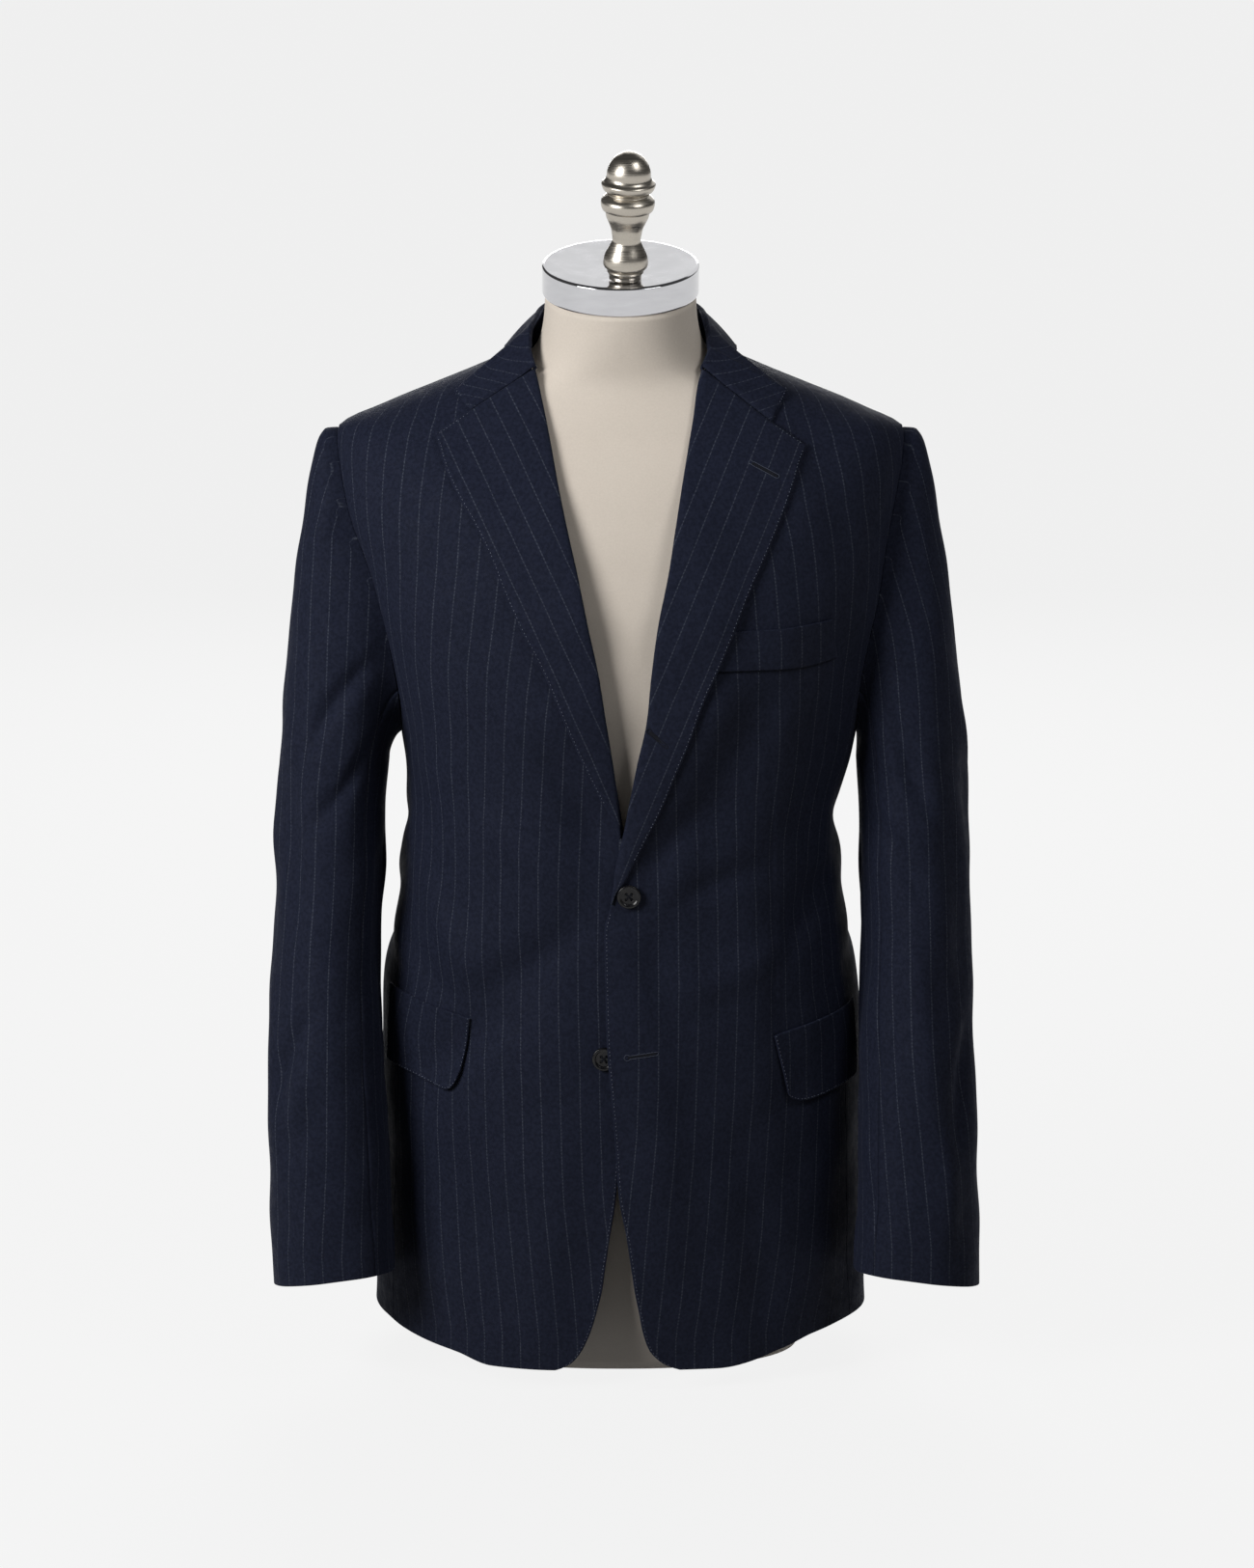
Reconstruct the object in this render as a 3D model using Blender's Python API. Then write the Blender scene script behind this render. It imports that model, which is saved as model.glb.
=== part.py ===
"""Chalk stripe suit jacket, buttoned on a limbless dress form that stands on its flat base.

Metres, +Z up, the front faces -Y, the wearer's left is +X. The body panels are cut from one
torso surface, given by an angle round it (0 centre front, 90 side, 180 centre back, below zero on
the wearer's right) and a height. Every cloth piece is a closed wall of real thickness.
"""

import bpy
import math
import numpy as np

CLOTH = 0.0018
SEAM_HALF_GAP = 0.00023
LAPEL_CLOTH = 0.0022
FOLD_RADIUS = 0.0024
UNDER_COLLAR = 0.0012
SHOULDER_ROOM = 0.0010
GORGE_GAP = 0.0006
FRONT_LAP = 0.0013
FRONT_ROLL_LIFT = 0.0042
BUTTON_DIAMETER = 0.0175
BUTTON_THICKNESS = 0.0030
BUTTON_HOLE = 0.0018
BUTTON_HOLE_SPACING = 0.0040
MIDDLE_BUTTON = (0.0061, 0.3769)
LOWER_BUTTON = (-0.0122, 0.2546)
FLAP_CLOTH = 0.0020
FLAP_GAP = 0.0006
WELT_CLOTH = 0.0016
WELT_GAP = 0.0006
NECK_RADIUS = 0.0555
NECK_CENTRE_Y = -0.0030
NECK_TOP = 0.8030
CAP_RADIUS = 0.0575
CAP_HEIGHT = 0.0220
CAP_TILT = math.radians(13.0)
PART_GAP = 0.0003
BUTTON_GAP = 0.0008
FINIAL_SIDEWAYS = 0.0033
FINIAL_FORWARD = 0.0360
FINIAL_LEAN = math.radians(2.0)

# height, half_width, front and back depth from the middle, middle, superellipse power
TORSO = (
    (0.0000, 0.1890, 0.134, 0.126, 0.0000, 2.25),
    (0.0500, 0.1870, 0.134, 0.128, 0.0000, 2.25),
    (0.1000, 0.1850, 0.133, 0.129, 0.0000, 2.25),
    (0.1500, 0.1830, 0.132, 0.130, 0.0000, 2.25),
    (0.2000, 0.1825, 0.130, 0.129, 0.0000, 2.25),
    (0.2500, 0.1815, 0.129, 0.126, 0.0000, 2.28),
    (0.3070, 0.1767, 0.127, 0.120, 0.0000, 2.32),
    (0.3600, 0.1660, 0.124, 0.112, 0.0000, 2.38),
    (0.4200, 0.1622, 0.124, 0.108, 0.0000, 2.40),
    (0.4700, 0.1690, 0.128, 0.112, 0.0000, 2.40),
    (0.5200, 0.1780, 0.133, 0.118, 0.0000, 2.40),
    (0.5700, 0.1885, 0.132, 0.122, 0.0000, 2.40),
    (0.6200, 0.1985, 0.122, 0.122, 0.0010, 2.40),
    (0.6600, 0.2075, 0.107, 0.114, 0.0030, 2.35),
    (0.6900, 0.2105, 0.090, 0.101, 0.0050, 2.25),
    (0.7050, 0.2055, 0.080, 0.092, 0.0060, 2.15),
    (0.7192, 0.1770, 0.073, 0.083, 0.0070, 2.10),
    (0.7335, 0.1415, 0.067, 0.075, 0.0080, 2.10),
    (0.7478, 0.1060, 0.063, 0.066, 0.0090, 2.10),
    (0.7580, 0.0835, 0.059, 0.060, 0.0100, 2.10),
    (0.7700, 0.0680, 0.055, 0.055, 0.0100, 2.10),
    (0.7800, 0.0600, 0.052, 0.052, 0.0100, 2.10),
)

# height, x of the left front's edge, x of the right front's edge; over 0.38 it is the roll line
FRONT_EDGE = (
    (0.0165, 0.0440, -0.0485),
    (0.0190, 0.0365, -0.0415),
    (0.0229, 0.0297, -0.0354),
    (0.0327, 0.0211, -0.0282),
    (0.0477, 0.0161, -0.0217),
    (0.0627, 0.0133, -0.0174),
    (0.0776, 0.0104, -0.0138),
    (0.0924, 0.0083, -0.0117),
    (0.1220, 0.0040, -0.0074),
    (0.1510, -0.0013, -0.0031),
    (0.1880, -0.0038, -0.0002),
    (0.2315, -0.0073, 0.0033),
    (0.2600, -0.0096, 0.0056),
    (0.2923, -0.0108, 0.0068),
    (0.3490, -0.0118, 0.0078),
    (0.3700, -0.0070, 0.0068),
    (0.3840, -0.0040, 0.0055),
    (0.4200, 0.0020, 0.0026),
    (0.4360, 0.0050, 0.0004),
    (0.4750, 0.0125, -0.0056),
    (0.5050, 0.0192, -0.0103),
    (0.5400, 0.0233, -0.0165),
    (0.5750, 0.0289, -0.0249),
    (0.6100, 0.0364, -0.0325),
    (0.6400, 0.0412, -0.0396),
    (0.6700, 0.0462, -0.0463),
    (0.6950, 0.0508, -0.0514),
    (0.7150, 0.0545, -0.0557),
    (0.7330, 0.0572, -0.0600),
    (0.7490, 0.0610, -0.0640),
    (0.7570, 0.0655, -0.0670),
    (0.7640, 0.0700, -0.0700),
)

FRONT_ROWS = (
    0.0165, 0.0190, 0.0229, 0.0327, 0.0477, 0.0700, 0.0924, 0.1220, 0.1510, 0.1880, 0.2150,
    0.2350, 0.2546, 0.2750, 0.3100, 0.3490, 0.3700, 0.3840, 0.4000, 0.4200, 0.4450, 0.4750,
    0.5056, 0.5300, 0.5550, 0.5800, 0.6050, 0.6300, 0.6550, 0.6750, 0.6900, 0.6975, 0.7050, 0.7130,
    0.7220, 0.7310, 0.7400, 0.7490, 0.7570, 0.7640,
)
BACK_ROWS = (
    0.0165, 0.0500, 0.1000, 0.1500, 0.2000, 0.2500, 0.3000, 0.3400, 0.3800, 0.4100, 0.4350, 0.4600,
    0.4820, 0.5056, 0.5300, 0.5550, 0.5800, 0.6050, 0.6300, 0.6550, 0.6750, 0.6900, 0.6975, 0.7050, 0.7130,
    0.7220, 0.7310, 0.7400, 0.7490, 0.7570, 0.7640,
)
FRONT_COLUMNS = 8
BACK_COLUMNS = 7
SIDE_ROWS = 16
SIDE_COLUMNS = 6

# angle, how far the hem lies over the lowest row
HEM_RISE = (
    (0.0, 0.0010),
    (20.0, -0.0010),
    (28.0, -0.0018),
    (38.0, 0.0012),
    (48.0, 0.0050),
    (60.0, 0.0120),
    (72.0, 0.0180),
    (90.0, 0.0180),
    (120.0, 0.0140),
    (150.0, 0.0100),
    (180.0, 0.0080),
)
HEM_FADE = 0.16
CHEST_SWING = 0.034
BACK_NECK_RISE = 0.0090

# height, y of the armhole's front line, y of its back line
ARMHOLE = (
    (0.4740, 0.0050, 0.0050),
    (0.4760, -0.0100, 0.0200),
    (0.4830, -0.0260, 0.0360),
    (0.4950, -0.0390, 0.0480),
    (0.5056, -0.0455, 0.0545),
    (0.5350, -0.0530, 0.0620),
    (0.5600, -0.0560, 0.0640),
    (0.5850, -0.0550, 0.0630),
    (0.6100, -0.0470, 0.0590),
    (0.6350, -0.0365, 0.0540),
    (0.6550, -0.0280, 0.0470),
    (0.6750, -0.0190, 0.0370),
    (0.6880, -0.0110, 0.0270),
    (0.6940, -0.0045, 0.0170),
    (0.6975, 0.0055, 0.0055),
)
ARM_CORNER = 0.5056
ARM_TOP = 0.6975

# height, angle of the seam of front and side panel, angle of the seam of side and back panel
SIDE_SEAMS = (
    (0.0000, 66.0, 116.0),
    (0.2500, 67.0, 117.0),
    (0.4200, 69.0, 116.0),
)

# roll_x, roll_z, edge_x, edge_z
LAPEL_LEFT = (
    (-0.0032, 0.3890, 0.0036, 0.3885),
    (-0.0014, 0.4000, 0.0082, 0.3980),
    (0.0020, 0.4200, 0.0175, 0.4170),
    (0.0067, 0.4450, 0.0282, 0.4400),
    (0.0125, 0.4750, 0.0385, 0.4660),
    (0.0192, 0.5050, 0.0490, 0.4920),
    (0.0233, 0.5400, 0.0593, 0.5218),
    (0.0289, 0.5750, 0.0720, 0.5500),
    (0.0364, 0.6100, 0.0835, 0.5770),
    (0.0412, 0.6400, 0.0932, 0.6000),
    (0.0462, 0.6700, 0.1037, 0.6220),
    (0.0508, 0.6950, 0.1135, 0.6435),
    (0.0545, 0.7150, 0.1215, 0.6630),
    (0.0572, 0.7330, 0.1284, 0.6805),
    (0.0610, 0.7490, 0.1360, 0.6972),
)
LAPEL_RIGHT = (
    (0.0004, 0.4360, -0.0053, 0.4310),
    (-0.0021, 0.4500, -0.0117, 0.4430),
    (-0.0056, 0.4750, -0.0215, 0.4630),
    (-0.0103, 0.5050, -0.0325, 0.4880),
    (-0.0165, 0.5400, -0.0450, 0.5185),
    (-0.0249, 0.5750, -0.0574, 0.5470),
    (-0.0325, 0.6100, -0.0718, 0.5740),
    (-0.0396, 0.6400, -0.0835, 0.5995),
    (-0.0463, 0.6700, -0.0925, 0.6220),
    (-0.0514, 0.6950, -0.1035, 0.6430),
    (-0.0557, 0.7150, -0.1160, 0.6630),
    (-0.0600, 0.7330, -0.1275, 0.6840),
    (-0.0640, 0.7490, -0.1355, 0.7042),
)
NOTCH_LEFT = (0.1098, 0.7126)
NOTCH_RIGHT = (-0.1083, 0.7209)

# across a lapel: distance from the roll line or share of the width, height of the face, of the under side
LAPEL_FOLD = (
    (-0.0011, -0.0016, -0.0005, -0.0014),
    (-0.0027, 0.0008, -0.0005, 0.0006),
    (-0.0016, 0.0029, -0.0001, 0.0009),
    (0.0020, 0.0036, 0.0020, 0.0013),
)
LAPEL_SPREAD = (
    (0.35, 0.0038, 0.0016),
    (0.70, 0.0036, 0.0014),
    (1.00, 0.0032, 0.0010),
)

# collar stations from the gorge to the centre back: seam angle or x, seam z, fold x y z,
# edge angle or x, edge z, how far the fold stands up
COLLAR_LEFT = (
    (0.0610, 0.7502, 0.0600, -0.0440, 0.7500, 0.1098, 0.7132, 0.00),
    (0.0655, 0.7570, 0.0638, -0.0300, 0.7630, 0.1210, 0.7307, 0.35),
    (0.0700, 0.7640, 0.0642, -0.0120, 0.7750, 0.1113, 0.7384, 0.70),
)
COLLAR_RIGHT = (
    (-0.0640, 0.7502, -0.0630, -0.0440, 0.7500, -0.1083, 0.7215, 0.00),
    (-0.0670, 0.7570, -0.0655, -0.0300, 0.7640, -0.1201, 0.7308, 0.35),
    (-0.0700, 0.7640, -0.0660, -0.0120, 0.7780, -0.1100, 0.7400, 0.70),
)
COLLAR_BACK = (
    (90.0, 0.7640, 0.0625, 0.0080, 0.7845, 64.0, 0.7540, 1.0),
    (112.0, 0.7660, 0.0585, 0.0290, 0.7895, 98.0, 0.7575, 1.0),
    (134.0, 0.7690, 0.0470, 0.0470, 0.7940, 126.0, 0.7520, 1.0),
    (157.0, 0.7720, 0.0250, 0.0585, 0.7960, 153.0, 0.7450, 1.0),
    (180.0, 0.7730, 0.0000, 0.0620, 0.7970, 180.0, 0.7420, 1.0),
)

# height, outer and inner x on the wearer's left, outer and inner x on the right, middle y, half depth
SLEEVE = (
    (0.4550, 0.2575, 0.1765, 0.2535, 0.1735, -0.010, 0.066),
    (0.4200, 0.2595, 0.1785, 0.2550, 0.1765, -0.017, 0.065),
    (0.3800, 0.2610, 0.1790, 0.2565, 0.1765, -0.026, 0.063),
    (0.3400, 0.2615, 0.1795, 0.2585, 0.1785, -0.037, 0.061),
    (0.2930, 0.2620, 0.1810, 0.2605, 0.1795, -0.050, 0.058),
    (0.2500, 0.2630, 0.1800, 0.2615, 0.1775, -0.063, 0.055),
    (0.2025, 0.2650, 0.1790, 0.2620, 0.1745, -0.075, 0.052),
    (0.1500, 0.2660, 0.1770, 0.2615, 0.1715, -0.085, 0.050),
    (0.1100, 0.2670, 0.1750, 0.2600, 0.1695, -0.091, 0.048),
    (0.0780, 0.2675, 0.1735, 0.2585, 0.1685, -0.095, 0.047),
)
CAP_STEPS = (0.0, 0.035, 0.08, 0.14, 0.22, 0.34, 0.48, 0.65, 0.82)
SLEEVE_POWER = 2.2
SLEEVE_ROPE = 0.0045
CUFF_SIDE_TILT = 0.125
CUFF_FRONT_TILT = 0.20
CUFF_FADE = 0.10
UNDER_SLEEVE = (0.37, 0.69)

# x, z of a flap's upper and lower line, and the height of its rounded front corner
FLAP_LEFT = (
    (0.1125, 0.2669, 0.1225, 0.2215),
    (0.1200, 0.2686, 0.1260, 0.2175),
    (0.1330, 0.2712, 0.1335, 0.2150),
    (0.1460, 0.2739, 0.1460, 0.2165),
    (0.1570, 0.2761, 0.1570, 0.2185),
    (0.1660, 0.2779, 0.1665, 0.2205),
    (0.1735, 0.2795, 0.1745, 0.2225),
)
FLAP_RIGHT = (
    (-0.1138, 0.2787, -0.1192, 0.2385),
    (-0.1210, 0.2804, -0.1235, 0.2280),
    (-0.1330, 0.2836, -0.1300, 0.2235),
    (-0.1450, 0.2862, -0.1430, 0.2262),
    (-0.1560, 0.2887, -0.1550, 0.2300),
    (-0.1650, 0.2900, -0.1650, 0.2325),
    (-0.1725, 0.2912, -0.1730, 0.2345),
)
WELT = (
    (0.0740, 0.5718, 0.0640, 0.5436),
    (0.0870, 0.5719, 0.0800, 0.5432),
    (0.1000, 0.5721, 0.0950, 0.5427),
    (0.1174, 0.5725, 0.1158, 0.5423),
    (0.1340, 0.5738, 0.1340, 0.5429),
    (0.1460, 0.5749, 0.1480, 0.5448),
    (0.1538, 0.5756, 0.1580, 0.5462),
)

# height, how far the form lies under the cloth
FORM_GAP = (
    (0.0000, 0.0520),
    (0.0150, 0.0440),
    (0.0400, 0.0330),
    (0.0800, 0.0220),
    (0.1300, 0.0150),
    (0.1800, 0.0130),
    (0.3000, 0.0120),
    (0.4200, 0.0100),
    (0.5000, 0.0110),
    (0.5800, 0.0120),
    (0.6400, 0.0080),
    (0.6750, 0.0040),
    (0.6900, 0.0024),
    (0.6975, 0.0019),
    (0.7050, 0.0018),
    (0.7130, 0.0012),
    (0.8000, 0.0012),
)
FORM_ROWS = (
    0.0, 0.015, 0.04, 0.08, 0.13, 0.18, 0.25, 0.31, 0.36, 0.42, 0.48, 0.54, 0.60, 0.63,
    0.655, 0.675, 0.69, 0.6975,
)
FORM_UPPER = (0.25, 0.50, 0.75, 1.0)
NECK_STEPS = (0.15, 0.32, 0.50, 0.68, 0.84, 1.0)
FORM_COLUMNS = 60

# height, radius
FINIAL = (
    (0.0000, 0.0117),
    (0.0030, 0.0119),
    (0.0055, 0.0133),
    (0.0067, 0.0130),
    (0.0097, 0.0159),
    (0.0134, 0.0162),
    (0.0176, 0.0154),
    (0.0219, 0.0134),
    (0.0255, 0.0116),
    (0.0292, 0.0103),
    (0.0340, 0.0109),
    (0.0377, 0.0116),
    (0.0413, 0.0130),
    (0.0462, 0.0152),
    (0.0498, 0.0160),
    (0.0516, 0.0164),
    (0.0522, 0.0182),
    (0.0547, 0.0192),
    (0.0577, 0.0195),
    (0.0601, 0.0187),
    (0.0626, 0.0164),
    (0.0638, 0.0150),
    (0.0650, 0.0158),
    (0.0674, 0.0182),
    (0.0705, 0.0195),
    (0.0723, 0.0193),
    (0.0741, 0.0173),
    (0.0765, 0.0161),
    (0.0808, 0.0157),
    (0.0850, 0.0143),
    (0.0893, 0.0118),
    (0.0923, 0.0088),
    (0.0944, 0.0050),
    (0.0950, 0.0020),
)
FINIAL_SIDES = 20
CAP_SIDES = 48
BUTTON_SIDES = 20

NAVY = (0.012, 0.015, 0.028, 1.0)
LIGHT_CANVAS = (0.80, 0.72, 0.62, 1.0)
CHROME = (0.62, 0.62, 0.64, 1.0)
NICKEL = (0.50, 0.47, 0.44, 1.0)
BLACK_HORN = (0.006, 0.007, 0.010, 1.0)


def clear_scene():
    for item in list(bpy.data.objects):
        bpy.data.objects.remove(item, do_unlink=True)


def material(name, color, metallic=0.0, roughness=0.9):
    made = bpy.data.materials.new(name)
    made.use_nodes = True
    shader = made.node_tree.nodes["Principled BSDF"]
    shader.inputs["Base Color"].default_value = color
    shader.inputs["Metallic"].default_value = metallic
    shader.inputs["Roughness"].default_value = roughness
    return made


def slope_at(heights, values, index):
    last = len(heights) - 1
    if index == 0:
        return (values[1] - values[0]) / (heights[1] - heights[0])
    if index == last:
        return (values[-1] - values[-2]) / (heights[-1] - heights[-2])
    before = (values[index] - values[index - 1]) / (heights[index] - heights[index - 1])
    after = (values[index + 1] - values[index]) / (heights[index + 1] - heights[index])
    if before * after <= 0.0:
        return 0.0
    return 2.0 * before * after / (before + after)


def smooth(table, column, at):
    """A value between a table's rows, on a smooth curve that never overshoots them."""
    heights = [row[0] for row in table]
    values = [row[column] for row in table]
    if at <= heights[0]:
        return values[0]
    if at >= heights[-1]:
        return values[-1]
    index = 0
    while heights[index + 1] < at:
        index += 1
    span = heights[index + 1] - heights[index]
    t = (at - heights[index]) / span
    start = slope_at(heights, values, index) * span
    end = slope_at(heights, values, index + 1) * span
    value = (2 * t**3 - 3 * t**2 + 1) * values[index]
    value += (t**3 - 2 * t**2 + t) * start
    value += (3 * t**2 - 2 * t**3) * values[index + 1]
    value += (t**3 - t**2) * end
    return value


def bump(distance, reach):
    return math.exp(-((distance / reach) ** 2))


def fade(value, start, end):
    """1 up to start, 0 past end, smooth between."""
    t = min(1.0, max(0.0, (value - start) / (end - start)))
    return 1.0 - t * t * (3.0 - 2.0 * t)


def ring(z, side):
    """Half width, depths, middle and power of one height; the chest hangs a little to the left."""
    found = [smooth(TORSO, column, z) for column in range(1, 6)]
    found[0] *= 1.0 + math.copysign(CHEST_SWING * (1.0 - fade(z, 0.40, 0.48)) * fade(z, 0.57, 0.65), side)
    return found


def unit(vector):
    return vector / np.linalg.norm(vector)


def torso(angle, z):
    half_width, front, back, middle, power = ring(z, angle)
    s = math.sin(math.radians(angle))
    c = math.cos(math.radians(angle))
    depth = front if c > 0 else back
    x = half_width * math.copysign(abs(s) ** (2 / power), s)
    y = middle - depth * math.copysign(abs(c) ** (2 / power), c)
    return np.array((x, y, z))


def outside(x, y, z):
    """Over 1 outside the torso surface, under 1 inside it."""
    half_width, front, back, middle, power = ring(z, x)
    depth = front if y < middle else back
    return (abs(x) / half_width) ** power + (abs(y - middle) / depth) ** power


def torso_normal(angle, z):
    x, y, _ = torso(angle, z)
    half_width, front, back, middle, power = ring(z, x)
    depth = front if y < middle else back
    step = 0.0005
    along_x = power * (abs(x) / half_width) ** (power - 1) / half_width * math.copysign(1, x)
    along_y = power * (abs(y - middle) / depth) ** (power - 1) / depth * math.copysign(1, y - middle)
    along_z = (outside(x, y, z + step) - outside(x, y, z - step)) / (2 * step)
    return unit(np.array((along_x, along_y, along_z)))


def angle_of_x(x, z):
    half_width, _, _, _, power = ring(z, x)
    share = min(1.0, abs(x) / half_width)
    return math.copysign(math.degrees(math.asin(share ** (power / 2))), x)


def angle_of_y(y, z):
    _, front, back, middle, power = ring(z, 1)
    depth = front if y < middle else back
    share = min(1.0, abs(y - middle) / depth)
    turned = math.degrees(math.acos(share ** (power / 2)))
    return turned if y < middle else 180.0 - turned


def front_lift(side, x, z):
    """The left front laps over the right one, rolls over its lapel and lies on its lower button."""
    near = fade(abs(x), 0.018, 0.065)
    below = fade(z, 0.455, 0.520)
    away = math.hypot(x - LOWER_BUTTON[0], z - LOWER_BUTTON[1])
    if side < 0:
        lap = -FRONT_LAP * near * below
        return lap - 0.0014 * bump(away, 0.026)
    roll = FRONT_ROLL_LIFT - FRONT_LAP
    rise = (1.0 - fade(z, 0.345, 0.410)) * fade(z, 0.450, 0.520) * near * roll
    return FRONT_LAP * near * below + rise + 0.0027 * bump(away, 0.026)


def on_torso(angle, z, lift):
    return torso(angle, z) + torso_normal(angle, z) * lift


def on_front(side, x, z, lift):
    """A point over the front panel, lift above its face."""
    return on_torso(angle_of_x(x, z), z, lift + front_lift(side, x, z))


def hem(angle, z):
    rise = smooth(HEM_RISE, 1, abs(angle))
    return z + rise * max(0.0, 1.0 - z / HEM_FADE)


def mix(start, end, share):
    return start + (end - start) * share


def trimmed(points, other, distance=SEAM_HALF_GAP):
    """Points moved this far towards the next ones, so that seams stay open a hair."""
    moved = []
    for point, beside in zip(points, other):
        moved.append(point + unit(beside - point) * distance)
    return moved


def trim_columns(grid, first, last):
    for row in grid:
        if first:
            row[0] = trimmed([row[0]], [row[1]])[0]
        if last:
            row[-1] = trimmed([row[-1]], [row[-2]])[0]


def panel(angles, lift, first=True, last=True):
    """Outer and inner grid of a body panel from rows of (angle, height)."""
    outer = []
    inner = []
    for row in angles:
        outer.append([on_torso(a, z, lift(a, z)) for a, z in row])
        inner.append([on_torso(a, z, lift(a, z) - CLOTH) for a, z in row])
    for grid in (outer, inner):
        trim_columns(grid, first, last)
    return outer, inner


def solid(name, points, triangles, look):
    mesh = bpy.data.meshes.new(name)
    mesh.from_pydata([tuple(point) for point in points], [], triangles)
    mesh.validate()
    mesh.update()
    made = bpy.data.objects.new(name, mesh)
    made.data.materials.append(look)
    bpy.context.scene.collection.objects.link(made)
    if signed_volume(points, triangles) < 0:
        mesh.flip_normals()
    return made


def signed_volume(points, triangles):
    total = 0.0
    for a, b, c in triangles:
        total += float(np.dot(points[a], np.cross(points[b], points[c])))
    return total


def strip(first, second, triangles, flip):
    for i in range(len(first) - 1):
        a, b, c, d = first[i], first[i + 1], second[i + 1], second[i]
        if flip:
            triangles += [(a, c, b), (a, d, c)]
        else:
            triangles += [(a, b, c), (a, c, d)]


def wall(name, outer, inner, look, closed=False):
    """A closed wall between two grids of the same size; closed joins its columns round a tube."""
    rows = len(outer)
    columns = len(outer[0])
    points = [p for row in outer for p in row] + [p for row in inner for p in row]
    far = rows * columns

    def line(row, side):
        base = row * columns + (far if side else 0)
        found = [base + i for i in range(columns)]
        return found + [found[0]] if closed else found

    triangles = []
    for row in range(rows - 1):
        strip(line(row, 0), line(row + 1, 0), triangles, False)
        strip(line(row, 1), line(row + 1, 1), triangles, True)
    strip(line(0, 1), line(0, 0), triangles, False)
    strip(line(rows - 1, 0), line(rows - 1, 1), triangles, False)
    if not closed:
        for column, flip in ((0, False), (columns - 1, True)):
            outer_edge = [row * columns + column for row in range(rows)]
            inner_edge = [far + i for i in outer_edge]
            strip(outer_edge, inner_edge, triangles, flip)
    return solid(name, points, triangles, look)


def armhole_y(z, side):
    return smooth(ARMHOLE, 1 if side == "front" else 2, z)


def side_seam(z, column):
    """Angle of a side seam, which ends at the armhole's corner."""
    ends = [ARM_CORNER]
    ends += [angle_of_y(armhole_y(ARM_CORNER, which), ARM_CORNER) for which in ("front", "back")]
    return smooth(SIDE_SEAMS + (tuple(ends),), column, z)


def front_outer_angle(z):
    if z <= ARM_CORNER:
        return side_seam(z, 1)
    if z >= ARM_TOP:
        return 90.0
    return angle_of_y(armhole_y(z, "front"), z)


def back_outer_angle(z):
    if z <= ARM_CORNER:
        return side_seam(z, 2)
    if z >= ARM_TOP:
        return 90.0
    return angle_of_y(armhole_y(z, "back"), z)


def build_front(side, name, look):
    column = 1 if side > 0 else 2
    rows = []
    for z in FRONT_ROWS:
        start = angle_of_x(smooth(FRONT_EDGE, column, z), z)
        end = side * front_outer_angle(z)
        angles = [mix(start, end, i / (FRONT_COLUMNS - 1)) for i in range(FRONT_COLUMNS)]
        rows.append([(a, hem(a, z)) for a in angles])
    lift = lambda a, z: front_lift(side, torso(a, z)[0], z)
    outer, inner = panel(rows, lift, first=False)
    wall(name, outer, inner, look)


def back_row(z, side):
    start = back_outer_angle(z)
    row = []
    for i in range(BACK_COLUMNS):
        angle = mix(start, 180.0, i / (BACK_COLUMNS - 1))
        share = (1.0 - math.cos(math.radians(2.0 * (angle - 90.0)))) / 2.0
        rise = BACK_NECK_RISE * share * (1.0 - fade(z, 0.7310, 0.7640))
        row.append((side * angle, hem(angle, z) + rise))
    return row


def build_back(side, name, look):
    rows = [back_row(z, side) for z in BACK_ROWS]
    outer, inner = panel(rows, lambda a, z: 0.0)
    wall(name, outer, inner, look)


def armhole_floor(share):
    """Angle and height on the armhole's lower line, from the front corner (0) to the back (1)."""
    y = mix(armhole_y(ARM_CORNER, "front"), armhole_y(ARM_CORNER, "back"), share)
    low, high = ARMHOLE[0][0], ARM_CORNER
    which = "front" if y < ARMHOLE[0][1] else "back"
    for _ in range(40):
        middle = (low + high) / 2
        if abs(armhole_y(middle, which) - 0.005) < abs(y - 0.005):
            low = middle
        else:
            high = middle
    return angle_of_y(y, low), low


def build_side(side, name, look):
    rows = []
    for i in range(SIDE_ROWS):
        v = i / (SIDE_ROWS - 1)
        row = []
        for j in range(SIDE_COLUMNS + 1):
            share = j / SIDE_COLUMNS
            top_angle, top = armhole_floor(share)
            z = mix(0.0165, top, v)
            level = mix(side_seam(ARM_CORNER, 1), side_seam(ARM_CORNER, 2), share)
            angle = mix(side_seam(z, 1), side_seam(z, 2), share)
            angle += (top_angle - level) * fade(1.0 - v, 0.0, 0.45)
            row.append((side * angle, hem(angle, z)))
        rows.append(row)
    outer, inner = panel(rows, lambda a, z: 0.0)
    for grid in (outer, inner):
        grid[-1] = trimmed(grid[-1], grid[-2])
    wall(name, outer, inner, look)


def armhole_ring(side):
    """The armhole's corners: top, down the front, under the arm, up the back."""
    heights = [z for z in FRONT_ROWS if ARM_CORNER <= z <= ARM_TOP]
    spots = [(front_outer_angle(z), z) for z in reversed(heights)]
    spots += [armhole_floor(j / SIDE_COLUMNS) for j in range(1, SIDE_COLUMNS)]
    spots += [(back_outer_angle(z), z) for z in heights[:-1]]
    return [(side * a, z) for a, z in spots]


def ring_shares(points):
    """Share of the way round a closed line at each point."""
    steps = [np.linalg.norm(points[(i + 1) % len(points)] - p) for i, p in enumerate(points)]
    total = sum(steps)
    shares = [0.0]
    for step in steps[:-1]:
        shares.append(shares[-1] + step / total)
    return shares


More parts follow.
